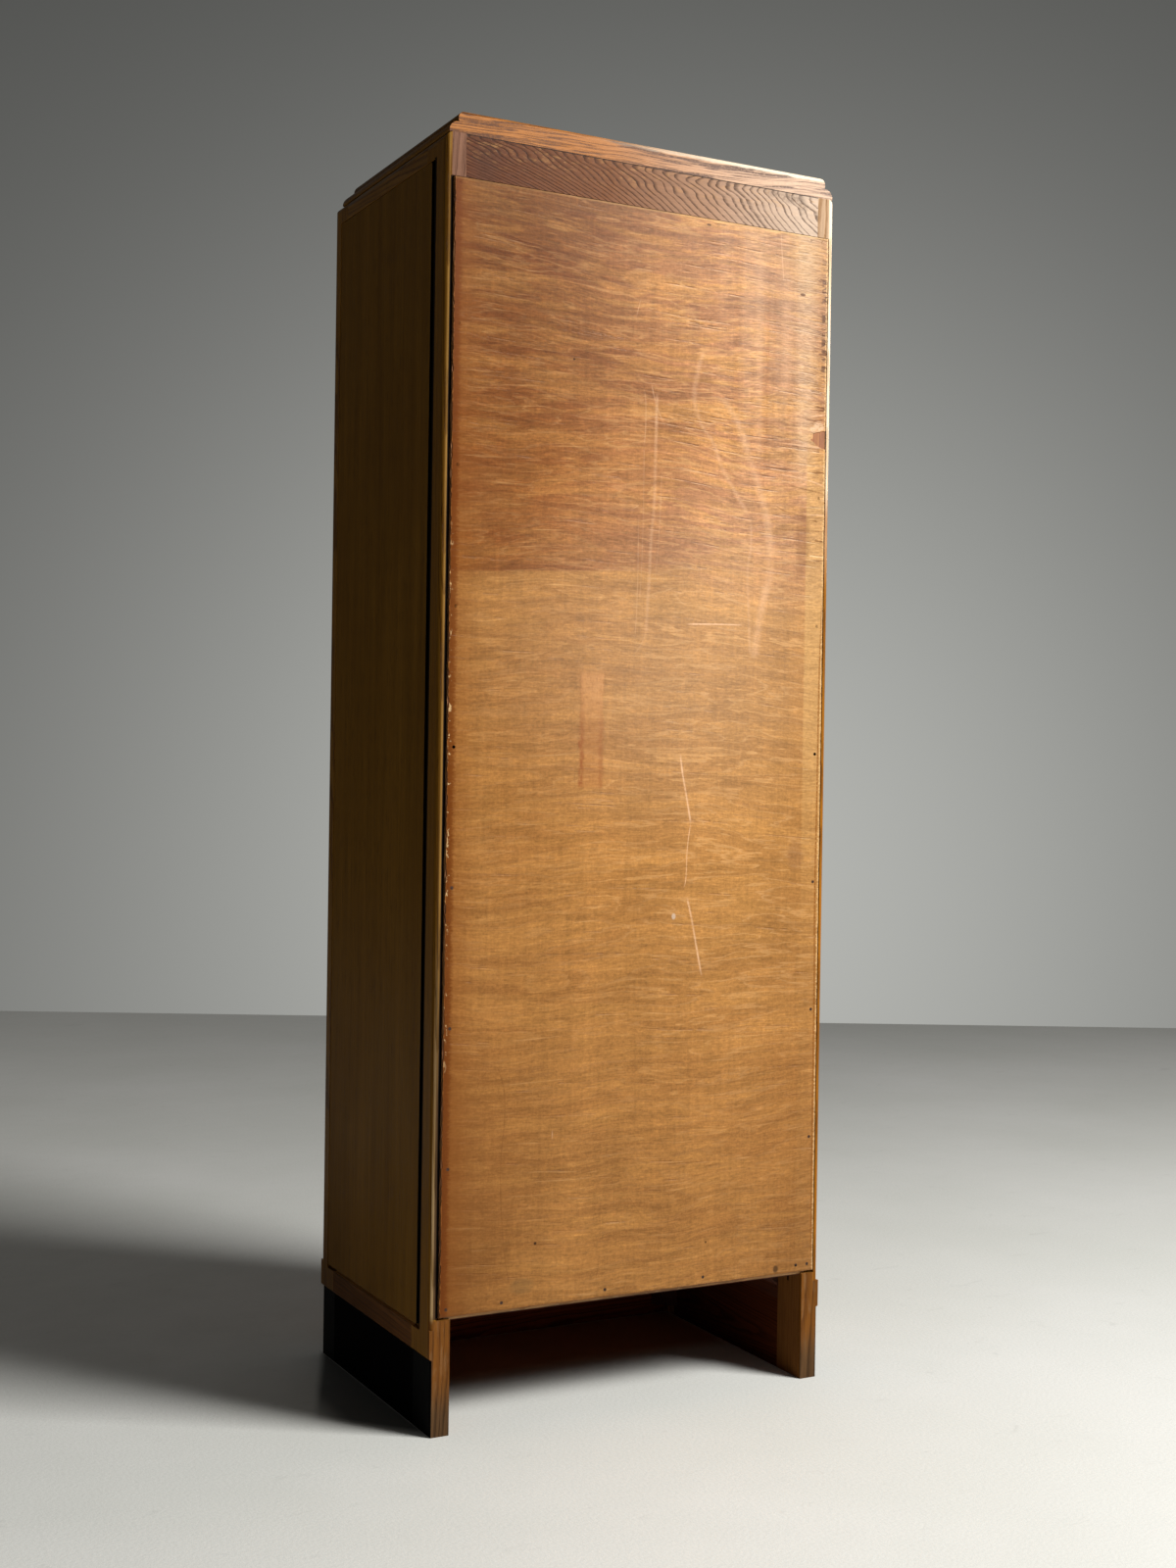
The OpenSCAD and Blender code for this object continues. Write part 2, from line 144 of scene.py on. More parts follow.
def vector(job, *values):
    output = "Value" if job in ("LENGTH", "DOT_PRODUCT") else "Vector"
    return flow("VectorMath", dict(enumerate(values)), output, operation=job)


def product(first, *others):
    for other in others:
        first = first * other
    return first


def fade(value, low, high, start=0, end=1, ease="SMOOTHSTEP"):
    sockets = {"Value": value, "From Min": low, "From Max": high, "To Min": start, "To Max": end}
    return flow("MapRange", sockets, "Result", interpolation_type=ease)


def spread(value, low, high, start=0, end=1):
    return fade(value, low, high, start, end, "LINEAR")


def between(share, start, end):
    return spread(share, 0, 1, start, end)


def vary(pattern, start, end):
    # the usual reach of a noise, stretched from start to end
    return spread(pattern, 0.3, 0.7, start, end)


def varyLess(pattern, start, end):
    return spread(pattern, 0.25, 0.75, start, end)


def split(point, axes="XYZ"):
    parts = put(point.tree, "SeparateXYZ", {0: point}).outputs
    return [Flow(parts[axis]) for axis in axes]


def lifted(point, rise):
    return vector("ADD", point, flow("CombineXYZ", {2: rise}))


tones = {}  # shades with a name, added beside the piece that shows them


def tint(shade):
    def linear(part):
        share = int(part, 16) / 255
        return share / 12.92 if share <= 0.04045 else ((share + 0.055) / 1.055) ** 2.4
    hexText = tones.get(shade, shade)
    return tuple(linear(hexText[i:i + 2]) for i in (0, 2, 4)) + (1,)


def over(colour, shade, *amounts, way="MIX"):
    # a shade laid over a colour, as strongly as the product of the amounts
    sockets = {0: product(*amounts), 6: colour, 7: shade}
    sockets = {key: tint(value) if isinstance(value, str) else value for key, value in sockets.items()}
    return flow("Mix", sockets, 2, data_type="RGBA", blend_type=way)


def coated(colour, *coats):
    # coats laid over a colour one after another, each a shade and its amounts
    for shade, *amounts in coats:
        colour = over(colour, shade, *amounts)
    return colour


def shaded(colour, *shades):
    shade = product(*shades)
    return over(colour, flow("CombineColor", {0: shade, 1: shade, 2: shade}), 1, way="MULTIPLY")


def ramp(value, stops):
    made = put(value.tree, "ValToRGB", {"Fac": value})
    bar = made.color_ramp
    while len(bar.elements) < len(stops):
        bar.elements.new(0.5)
    for element, (place, shade) in zip(bar.elements, stops):
        element.position = place
        element.color = tint(shade)
    return Flow(made.outputs["Color"])


def noise(point, scale, detail=2, rough=0.5, warp=0, shift=(0, 0, 0)):
    scale = scale if isinstance(scale, tuple) else (scale, scale, scale)
    mapped = flow("Mapping", {"Vector": point, "Location": shift, "Scale": scale})
    sockets = {"Vector": mapped, "Scale": 1, "Detail": detail, "Roughness": rough, "Distortion": warp}
    return flow("TexNoise", sockets)


def unevenCount(count, scale, reach):
    # lines that are counted off, some closer and some wider apart
    return count + flow("TexNoise", {"W": count, "Scale": scale, "Detail": 1}, noise_dimensions="1D") * reach


def toneOf(count):
    return flow("TexWhiteNoise", {"W": calc("FLOOR", count)}, noise_dimensions="1D")


def spot(x, z, place, wide, tall, soft=0.35):
    # soft ellipse on an upright face; place, width and height are in mm
    across = (x - place[0] * mm) / (wide * mm / 2)
    upward = (z - place[1] * mm) / (tall * mm / 2)
    return fade(calc("SQRT", across * across + upward * upward), 1 + soft, 1 - soft)


def newFinish(name):
    made = bpy.data.materials.new(name)
    made.use_nodes = True
    made.node_tree.nodes.clear()
    return made, Flow(put(made.node_tree, "TexCoord").outputs["Object"])


def finishSurface(made, colour, roughness, height, depth, specular=0.5, metallic=0):
    bump = flow("Bump", {"Strength": 1, "Distance": depth, "Height": height})
    surface = flow("BsdfPrincipled", {"Base Color": colour, "Roughness": roughness, "Normal": bump,
                                      "Specular IOR Level": specular, "Metallic": metallic})
    put(made.node_tree, "OutputMaterial", {"Surface": surface})
    return made


# Studio: pale floor, grey surroundings, one large soft light, a weak fill on the open front

studio = {
    "keyFrom": (-0.537, 0.618, 0.574),  # direction from the case to the light
    "keyAway": 4,
    "keySize": 1.45,
    "keyPower": 302,
    "keyAim": (0.7, 1.1, 0.25),
    "keyColour": (1, 0.99, 0.972),
    "fillPlace": (-2.2, -3.4, 1.9),
    "fillSize": 2,
    "fillPower": 100,
    "aim": (0, 0.1, 0.85),
    "ambient": 0.13,
    "ambientColour": (1, 0.98, 0.94, 1),
    "ambientRise": (0.24, 1.08),  # from the horizon to the zenith
    "ambientSide": (1.6, 0.35),  # from the left side to the right
    "floorReach": 6.62,  # camera to the floor's far edge
    "floorSide": 14,
}

# Grey wall round the set: a level that falls upwards, and a soft pool of light on it
wall = {
    "colour": (0.99, 1, 0.946, 1),
    "level": 0.1205,
    "rise": -0.1401,
    "pool": 0.3374,
    "poolAcross": 0.0495,
    "poolUp": -0.0512,
    "poolWide": 0.2996,
    "poolTall": 0.3184,
    "least": 0.03,
}


def areaLight(name, place, aim, size, power, shade=(1, 1, 1)):
    lamp = bpy.data.lights.new(name, "AREA")
    lamp.shape = "SQUARE"
    lamp.size = size
    lamp.energy = power
    lamp.color = shade
    holder = bpy.data.objects.new(name, lamp)
    bpy.context.scene.collection.objects.link(holder)
    holder.location = place
    holder.rotation_euler = (Vector(aim) - Vector(place)).to_track_quat("-Z", "Y").to_euler()
    holder.visible_camera = False
    return holder


def surroundings():
    world = bpy.data.worlds.new("surroundings")
    bpy.context.scene.world = world
    world.use_nodes = True
    tree = world.node_tree
    tree.nodes.clear()
    look = Flow(put(tree, "TexCoord").outputs["Generated"])
    x, upward = split(look, "XZ")
    across = vector("DOT_PRODUCT", look, tuple(cameraTurn @ Vector((1, 0, 0))))
    sideways = (across - wall["poolAcross"]) / wall["poolWide"]
    tall = (upward - wall["poolUp"]) / wall["poolTall"]
    pool = calc("EXPONENT", (sideways * sideways + tall * tall) * -1) * wall["pool"]
    level = calc("MAXIMUM", upward * wall["rise"] + wall["level"] + pool, wall["least"])
    shown = flow("Background", {"Color": wall["colour"], "Strength": level})
    # what lights the set comes mostly from above, and less from the dark right side
    strength = product(between(upward, *studio["ambientRise"]), spread(x, -1, 1, *studio["ambientSide"]),
                       studio["ambient"])
    lit = flow("Background", {"Color": studio["ambientColour"], "Strength": strength})
    toCamera = Flow(put(tree, "LightPath").outputs["Is Camera Ray"])
    put(tree, "OutputWorld", {"Surface": flow("MixShader", {0: toCamera, 1: lit, 2: shown})})


def floorFinish():
    made, point = newFinish("pale_floor")
    x, y = split(point, "XY")
    cloudy = noise(point, 9, 5, 0.62)
    fine = noise(point, 190, 3, 0.6)
    scraped = fade(noise(point, (14, 26, 14), 6, 0.7, 0.6), 0.60, 0.74)
    # painted brown shade and bounce light under the case, and a painted dark reflection of the plinth beside
    # it
    under = product(fade(abs(x), 0.285, 0.262), fade(y, 0.03, -0.03), fade(y, -0.185, -0.165))
    out = x - plinthX
    beside = product(fade(out, -0.002, 0.002), fade(out, 0.125, 0.06), fade(out * -2.5 + y, -0.22, -0.18),
                     fade(out * 1.15 + y, 0.21, 0.16))
    colour = coated(ramp(noise(point, 1.3, 4, 0.55), [(0.3, "d3d4ce"), (0.7, "dededa")]),
                    ("c8c9c4", fade(cloudy, 0.35, 0.7, 0, 0.25)), ("9e9f9b", scraped, 0.20),
                    ("a7a8a2", fade(fine, 0.3, 0.75, 0, 0.10)), ("b47a48", under, 0.94),
                    ("20201d", beside, 0.88))
    return finishSurface(made, colour, vary(cloudy, 0.46, 0.62), fine, 0.4 * mm, 0.35)


def buildStudio():
    surroundings()
    aim = Vector(studio["aim"])
    areaLight("key_light", aim + Vector(studio["keyFrom"]).normalized() * studio["keyAway"], studio["keyAim"],
              studio["keySize"], studio["keyPower"], studio["keyColour"])
    fill = areaLight("front_fill", studio["fillPlace"], aim, studio["fillSize"], studio["fillPower"])
    ahead = cameraTurn @ Vector((0, 1, 0))
    side = studio["floorSide"]
    middle = Vector(shot["place"]) + ahead * (studio["floorReach"] - side / 2)
    bpy.ops.mesh.primitive_plane_add(size=side, location=(middle.x, middle.y, 0),
                                     rotation=(0, 0, math.radians(shot["turn"])))
    bpy.ops.object.transform_apply(location=True, rotation=True, scale=True)
    ground = bpy.context.active_object
    ground.name = "studio_floor"
    ground.data.materials.append(floorFinish())
    ground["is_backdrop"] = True
    bpy.ops.object.select_all(action="DESELECT")
    return fill


fillLight = buildStudio()
print("studio: camera, lights, floor")


# Oak. The figure is solid: rings round a pith that runs along the board, beside or under it

def ringGroup():
    group = bpy.data.node_groups.new("growth_rings", "ShaderNodeTree")
    for name, kind in (("Point", "Vector"), ("Ring Width", "Float"), ("Taper", "Float"), ("Wobble", "Float")):
        group.interface.new_socket(name, in_out="INPUT", socket_type="NodeSocket" + kind)
    for name in ("Early", "Tone", "Pores", "Fibre"):
        group.interface.new_socket(name, in_out="OUTPUT", socket_type="NodeSocketFloat")
    given = {socket.name: Flow(socket) for socket in group.nodes.new("NodeGroupInput").outputs if socket.name}
    point = given["Point"]
    x, y, z = split(point)
    slow = noise(point, (2.4, 9, 9), 2) - 0.5
    quick = noise(point, (13, 42, 42), 3, 0.55) - 0.5
    tiny = noise(point, (45, 260, 260), 2) - 0.5
    sway = slow * 2.2 + quick * 0.62 + tiny * 0.07
    radius = vector("LENGTH", flow("CombineXYZ", {1: y, 2: z}))
    radius = radius + x * given["Taper"] + sway * given["Wobble"]
    count = unevenCount(radius / given["Ring Width"], 0.37, 1.6)
    share = calc("FRACT", count)
    early = fade(share, 0, 0.07) - fade(share, 0.16, 0.62)
    pores = fade(noise(point, (34, 1500, 1500), 1), 0.57, 0.66) * between(early, 0.30, 1)
    fibre = noise(point, (11, 420, 420), 4, 0.65)
    out = group.nodes.new("NodeGroupOutput")
    for name, value in (("Early", early), ("Tone", toneOf(count)), ("Pores", pores), ("Fibre", fibre)):
        group.links.new(value.socket, out.inputs[name])
    return group


growthRings = ringGroup()

# Finishes on the oak: late and early wood, pores, rubbed edges, dirt, depth of the pores, roughness
lookParts = ("late", "early", "pore", "worn", "grime", "porous", "rough")
oakLooks = {
    "golden": ("83591c", "684213", "2c1706", "a87732", "3f2609", 0.7, 0.38),
    "inside": ("b08350", "916537", "4a2e16", "c69c6c", "5b3b1f", 0.6, 0.48),
    "black": ("040303", "030202", "020101", "0f0a07", "080605", 0.5, 0.66),
    "raw": ("785542", "684736", "3a241a", "a07c5e", "5a3e2e", 0.5, 0.62),
    # the same raw oak made paler for the left rear stile, on the lit side: painted light
    "rawPaintedLight": ("b09173", "93714f", "6b4426", "c4a68a", "866448", 0.7, 0.6),
    # painted highlight: the white look high on the left rear corner, and in part the pink below it
    "paintedGlare": ("d9c6ac", "c2a483", "7b5536", "e6dccb", "b58c66", 0.4, 0.34),
    "arrisPink": ("a97f58", "946848", "5a3a24", "c09c7c", "7a5436", 0.6, 0.6),
    "arrisTan": ("8a5512", "74450e", "3a2006", "9c6a24", "5c360c", 0.5, 0.6),
    "edgeTan": ("9f773c", "88622f", "3a1f0a", "b48d54", "7a5226", 0.5, 0.5),
    "edgeLow": ("b6966a", "9c7a4c", "4a2c12", "b89a6c", "7c5a32", 0.5, 0.5),
    "edgeDull": ("553e27", "44301c", "22140a", "6a5238", "2c1c0e", 0.5, 0.6),
    "leg": ("734618", "623a14", "2c1706", "8f6030", "3d220e", 0.6, 0.62),
    # painted shade: the legs' inner faces under the case take this darker look
    "legInside": ("7a4c21", "623c19", "28140a", "86582c", "3c2412", 0.6, 0.7),
    "scuffed": ("7d5a38", "6b4a2c", "3a2414", "a98a68", "5a4028", 0.5, 0.66),
    "foot": ("573f28", "43301e", "1c120a", "756048", "1a130c", 0.6, 0.7),
    # painted shade: undersides and faces under the case take this dark look
    "under": ("4c220d", "381909", "1a0b04", "522a13", "200e06", 0.6, 0.7),
    "far": ("7a3412", "5e260b", "220e04", "7c3c18", "3a1808", 0.6, 0.7),
    "lowRail": ("6b4016", "56310f", "261205", "80521f", "36200b", 0.7, 0.5),
    # painted light: a pale look for the step of the bottom rails, which lies in shadow
    "paintedLitLedge": ("c79a60", "b5874e", "6a4420", "d0a670", "9c7440", 0.4, 0.6),
    # painted shadow, near black, for gaps beside the side panels and the back sheet
    "recessShadow": ("140a05", "0f0703", "080402", "1a0e07", "0c0603", 0.4, 0.7),
}
oakLooks = {name: dict(zip(lookParts, values)) for name, values in oakLooks.items()}


def alongBoard(point, node, run, pith):
    # place along the board, and across it from its pith
    low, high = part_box(node)
    axes = {"x": "XYZ", "y": "YXZ", "z": "ZXY"}[run]
    parts = split(vector("SUBTRACT", point, tuple((low + high) / 2)), axes)
    return vector("ADD", flow("CombineXYZ", dict(enumerate(parts))), pith)


def edgeNear(point, node):
    # how near the closest edge of the node's box is
    low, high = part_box(node)
    away = vector("ABSOLUTE", vector("SUBTRACT", point, tuple((low + high) / 2)))
    x, y, z = split(vector("SUBTRACT", tuple((high - low) / 2), away))
    small = calc("MINIMUM", calc("MINIMUM", x, y), z)
    large = calc("MAXIMUM", calc("MAXIMUM", x, y), z)
    return x + y + z - small - large


def ringsOf(point, node, run, board):
    sockets = {"Point": alongBoard(point, node, run, board["pith"]), "Ring Width": board["ring"] * mm,
               "Taper": board.get("taper", 0.02), "Wobble": board.get("wobble", 5) * mm}
    made = put(point.tree, "Group", sockets, node_tree=growthRings)
    return {socket.name: Flow(socket) for socket in made.outputs}


def oakCoat(rings, look):
    colour = over(look["late"], look["early"], rings["Early"])
    colour = shaded(colour, between(rings["Tone"], 0.90, 1.08), varyLess(rings["Fibre"], 0.80, 1.18))
    return over(colour, look["pore"], rings["Pores"], look["porous"])


def oakFinish(name, node, run, board, look, others=()):
    made, point = newFinish(name)
    rings = ringsOf(point, node, run, board)
    first = oakLooks[look]
    patchy = noise(point, (5, 5, 3), 4, 0.6)
    rough = varyLess(patchy, first["rough"] - 0.07, first["rough"] + 0.09)
    ragged = vary(noise(point, 60, 4, 0.6), -1.8 * mm, 3 * mm)
    rubbed = fade(edgeNear(point, node) + ragged, 2.5 * mm, 0)
    colour = coated(oakCoat(rings, first), (first["worn"], rubbed, 0.65),
                    (first["grime"], fade(patchy, 0.50, 0.78, 0, 0.35)))
    for otherLook, where in others:
        other = oakLooks[otherLook]
        mask = where(point)
        coat = over(oakCoat(rings, other), other["grime"], fade(patchy, 0.46, 0.76, 0, 0.45))
        colour = over(colour, coat, mask)
        rough = rough + mask * (other["rough"] - first["rough"])
    height = rings["Fibre"] * 0.35 - rings["Pores"] * 0.8 - rings["Early"] * 0.15
    return finishSurface(made, colour, rough, height, 0.22 * mm, board.get("shine", 0.3))


# Masks: where one finish takes over from another on the same board

def above(axis, value, soft=0.2 * mm, side=1):
    # all that lies past a plane, or before it with side -1
    def where(point):
        return fade(split(point, axis)[0] * side, side * value - soft, side * value + soft)
    return where


def below(axis, value, soft=0.2 * mm):
    return above(axis, value, soft, -1)


def outwards(value, soft=0.2 * mm):
    # all that lies further from the middle plane of the case than a distance
    def where(point):
        return fade(abs(split(point, "X")[0]), value - soft, value + soft)
    return where


def both(*masks):
    def where(point):
        return product(*(mask(point) for mask in masks))
    return where


def either(first, second):
    def where(point):
        return calc("MAXIMUM", first(point), second(point))
    return where


def inwards(value, soft=0.2 * mm):
    def where(point):
        return 1 - outwards(value, soft)(point)
    return where


def scuffs(scale, low, high):
    def where(point):
        return fade(noise(point, scale, 4, 0.65), low, high)
    return where


def gapLipShadow(point):
    # painted shadow past the rebate of the side panel, wider high up
    y, z = split(point, "YZ")
    past = y - spread(z, panelLow.z, panelHigh.z, panelHigh.y + 12.4 * mm, panelHigh.y + 15.5 * mm)
    return product(fade(past, 0.7 * mm, -0.7 * mm), fade(y, panelHigh.y + 8 * mm, panelHigh.y + 9 * mm),
                   fade(z, panelLow.z - 5 * mm, panelLow.z - 3 * mm),
                   fade(z, panelHigh.z + 3 * mm, panelHigh.z + 1 * mm))


skin = 0.6 * mm
painted = both(below("Z", plinthTop), either(outwards(plinthX - skin), below("Y", plinthY + skin)))
inner = inwards(innerX + skin)
# inner faces below the bottom board, which take darker looks as painted shade
underCaseShade = both(inner, below("Z", boardUnder))
# the step of the side bottom rails and its rebate floor, made paler as painted light
paintedLitLedge = both(inwards(outerX - 0.9 * mm), outwards(innerX + 8 * mm))
# the rebate by the side panel's rear edge, painted with shadow
panelGapShadow = both(above("Y", panelHigh.y - 2 * mm), below("Y", panelHigh.y + 10.2 * mm),
                inwards(panelHigh.x - 1.5 * mm), outwards(innerX + 8 * mm),
                above("Z", panelLow.z - 4 * mm), below("Z", panelHigh.z + 4 * mm))

# Rear faces of the rear stiles: raw beside the back sheet, bare and dirty below it
rearFace = above("Y", rearY - 6.2 * mm)
# the left stile's raw face takes the paler look: painted light
rawRear = both(rearFace, inwards(outerX - 8.8 * mm, 0.8 * mm), above("Z", backHigh.z - 40 * mm))
bareLeg = both(rearFace, below("Z", backLow.z - 2 * mm))
scuffedLeg = both(bareLeg, scuffs((110, 60, 22), 0.50, 0.70))
dirtyFoot = both(above("Y", rearY - 2 * mm), below("Z", 52 * mm, 34 * mm))

# The left one's corner: a painted white highlight high up, pink below it partly as painted highlight, tan low
# down
arris = both(above("Y", rearY - 9.5 * mm), outwards(outerX - 9.5 * mm, 0.6 * mm),
             above("Z", backLow.z - 14 * mm))
glareArris = both(arris, above("Z", 1.25, 0.03))
lowArris = both(arris, below("Z", 1.16, 0.05))

# The right one shows painted shadow in the gap beside the sheet, and worn strips along its edge
sheetGapShadow = both(rearFace, above("X", backHigh.x - 2 * mm), below("X", backHigh.x + 5.2 * mm, 0.6 * mm),
               above("Z", backLow.z), below("Z", backHigh.z))
strip = both(rearFace, above("X", backHigh.x + 5.4 * mm, 0.5 * mm), below("X", outerX - 4.8 * mm, 0.8 * mm),
             above("Z", 0.55, 0.2))
lowStrip = both(rearFace, above("X", outerX - 4.7 * mm, 0.9 * mm), below("X", outerX - 1.9 * mm, 0.4 * mm),
                below("Z", 0.50, 0.2), above("Z", backLow.z, 8 * mm))
dullLip = both(rearFace, above("X", backHigh.x - 1 * mm), below("X", outerX - 3.4 * mm, 1 * mm),
               below("Z", 0.75, 0.3), above("Z", backLow.z))


def wear(name, made, bevel=0.6, angle=42):
    thing = nodes[name]
    thing.data.materials.clear()
    thing.data.materials.append(made)
    if bevel:
        joined = thing.modifiers.new("joined", "WELD")
        joined.merge_threshold = 0.02 * mm
        softened = thing.modifiers.new("softened", "BEVEL")
        softened.width = bevel * mm
        softened.segments = 2
        softened.limit_method = "ANGLE"
        softened.angle_limit = math.radians(angle)


def wearOak(name, run, board, look, others=(), bevel=0.6):
    label = name.replace("plinth_rail", "plinth") + "_oak"
    wear(name, oakFinish(label, name, run, board, look, others), bevel)


# Boards: the place of the pith from the middle in metres, width and wobble of the rings in mm
stileBoards = {
    "right_front_stile": {"pith": (0, 0.055, 0.010), "ring": 2.4, "taper": 0.010, "shine": 0.14},
    "right_rear_stile": {"pith": (0.4, 0.030, 0.062), "ring": 2.2, "taper": 0.012, "wobble": 3,
                         "shine": 0.08},
    "left_front_stile": {"pith": (0.9, -0.048, 0.020), "ring": 2.5, "taper": 0.011, "shine": 0.14},
    "left_rear_stile": {"pith": (1.5, -0.020, 0.050), "ring": 2.3, "taper": -0.012, "wobble": 3,
                        "shine": 0.06},
}


def dressSides():
    for name, board in stileBoards.items():
        others = [("inside", inner)]
        # the rear legs' inner faces under the case take a darker look: painted shade
        if "rear" in name:
            others += [("legInside", underCaseShade), ("recessShadow", either(panelGapShadow, gapLipShadow)),
                       ("raw" if name.startswith("right") else "rawPaintedLight", rawRear), ("leg", bareLeg),
                       ("scuffed", scuffedLeg), ("foot", dirtyFoot)]
        if name == "left_rear_stile":
            others += [("arrisPink", arris), ("arrisTan", lowArris), ("paintedGlare", glareArris)]
        if name == "right_rear_stile":
            others += [("edgeDull", dullLip), ("edgeTan", strip), ("edgeLow", lowStrip), ("recessShadow", sheetGapShadow)]
        wearOak(name, "z", board, "golden", others + [("black", painted)])
    for index, (side, turn) in enumerate((("right", 1), ("left", -1))):
        top = {"pith": (0.3 + index, turn * 0.05, 0.012), "ring": 2.3, "taper": 0.02, "shine": 0.18}
        low = {"pith": (0.7 + index, turn * 0.045, -0.02), "ring": 2.7, "taper": -0.02, "shine": 0.14}
        wearOak(side + "_top_rail", "y", top, "golden", [("inside", inner)])
        # the bottom rails: their step made paler as painted light, their faces under the case darker as
        # painted shade
        wearOak(side + "_bottom_rail", "y", low, "lowRail",
                [("paintedLitLedge", paintedLitLedge), ("inside", inner), ("under", underCaseShade)])
        # painted shade: the plinth rails' inner faces take the dark look
        wearOak(side + "_plinth_rail", "y", dict(top, shine=0.02), "under",
                [("black", outwards(plinthX - skin))])


dressSides()
print("side frames dressed")

crossBoards = {
    "front_top_rail": ({"pith": (0.2, 0.004, 0.05), "ring": 2.6, "taper": 0.03}, "golden", []),
    "front_bottom_rail": ({"pith": (0.6, 0.01, -0.06), "ring": 2.5, "taper": 0.02}, "golden", []),
    "front_plinth": ({"pith": (0.9, 0.02, 0.05), "ring": 3, "taper": 0.02, "shine": 0.03}, "far",
                     [("black", below("Y", plinthY + skin))]),
    # painted shade: the bottom board's underside takes the dark look
    "bottom_board": ({"pith": (0.1, 0.03, 0.08), "ring": 3.4, "taper": 0.02}, "inside",
                     [("under", below("Z", boardUnder + 1 * mm))]),
}
rackBoard = {"pith": (0.2, 0.05, 0.03), "ring": 2.4}
# painted shade: the glue blocks under the case take the dark look
glueBlocks = {"top_glue_blocks": "inside", "floor_glue_blocks": "under", "plinth_glue_blocks": "under"}

# Rear rail: growth lines start upright at its upper edge and sweep down towards the left side
rearRail = {
    "lean": 64 * mm,  # sideways reach of a line by the rail's lower edge
    "leanRight": 175 * mm,  # the same towards the right side
    "hook": 8 * mm,
    "power": 1.5,
    "apart": 16 * mm,  # lines, measured along the upper edge
    "closer": 40 * mm,  # taken out of the left end, where they crowd
    "wave": 9 * mm,
    "zigzag": 26 * mm,
    # the raw oak runs pale at the left end and dark at the right end: painted light, brighter towards the
    # lamp
    "tones": [(0, "b79f8a"), (0.30, "96735a"), (0.62, "70472c"), (1, "57301a")],
    "gleam": "b98a55",
    "line": "2e160a",
    "smudge": "3b2a20",
    "smudges": [((-226, 1668), 34, 12, 0.55), ((-196, 1671), 22, 8, 0.45), ((-246, 1660), 14, 22, 0.40),
                ((244, 1640), 30, 60, 0.35)],
    # painted shadow along the underside of the top board's edge
    "jointShadow": "1c0e08",  # dark line along the top board
}

# Rear edge of the top board: orange oak with long dark streaks
topEdge = {
    "board": {"pith": (0.35, -0.05, 0.055), "ring": 3.6, "taper": 0.045, "wobble": 9},
    "base": "a1652a",
    # painted sheen: the edge turns paler towards the left end
    "pale": "cbb098",
    "streak": "38190a",
    # painted highlight along the upper arris
    "arrisHighlight": "e6d4b8",
}


def railFinish():
    made, point = newFinish("rear_rail_oak")
    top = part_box("rear_top_rail")[1].z
    x, z = split(point, "XZ")
    deep = spread(z, top, backHigh.z)
    lean = fade(x, -0.10, 0.26, rearRail["lean"], rearRail["leanRight"])
    drift = noise(point, (7, 1, 1), 1, 0.5, 0, (2, 0, 0))
    hook = product(calc("SINE", deep * 11 + drift * 9), fade(deep, 0.75, 0.05), rearRail["hook"])
    shift = calc("POWER", deep, rearRail["power"]) * lean + hook
    wave = (noise(point, (28, 1, 34), 3, 0.55) - 0.5) * rearRail["wave"]
    zigzag = noise(point, (9, 1, 78), 2, 0.6, 0, (5, 0, 0)) - 0.5
    zigzag = zigzag * spread(deep, 0, 0.8, rearRail["zigzag"], 0.2 * rearRail["zigzag"])
    place = fade(x, -0.12, -0.26, 0, rearRail["closer"]) - x - shift + wave + zigzag
    share = calc("FRACT", unevenCount(place / rearRail["apart"], 0.9, 0.7))
    # lines are broad and soft at the top, thin lower down
    grainy = noise(point, (70, 200, 260), 3, 0.7)
    line = fade(share, 0, 0.08) - fade(share, 0.08, spread(deep, 0, 0.9, 0.58, 0.44))
    line = line * fade(grainy, 0.34, 0.58, 0.55, 1)
    grit = noise(point, (330, 200, 330), 3, 0.65)
    fibre = noise(point, (24, 200, 360), 4, 0.65)
    colour = shaded(ramp(spread(x, -0.245, 0.245), rearRail["tones"]), varyLess(fibre, 0.84, 1.14),
                    varyLess(grit, 0.92, 1.08))
    colour = coated(colour, (rearRail["gleam"], fade(grainy, 0.5, 0.72), fade(deep, 0.9, 0.1), 0.4),
                    (rearRail["line"], line, spread(x, -0.25, 0.15, 0.78, 0.94)))
    for middle, wide, tall, strong in rearRail["smudges"]:
        gritty = fade(grit, 0.35, 0.60, 0.3, 1)
        colour = over(colour, rearRail["smudge"], spot(x, z, middle, wide, tall, 0.7), gritty, strong)
    colour = over(colour, rearRail["jointShadow"], fade(z, top - 1.9 * mm, top - 0.9 * mm), 0.85)
    return finishSurface(made, colour, vary(grit, 0.54, 0.70), fibre * 0.5 - line, 0.25 * mm, 0.12)


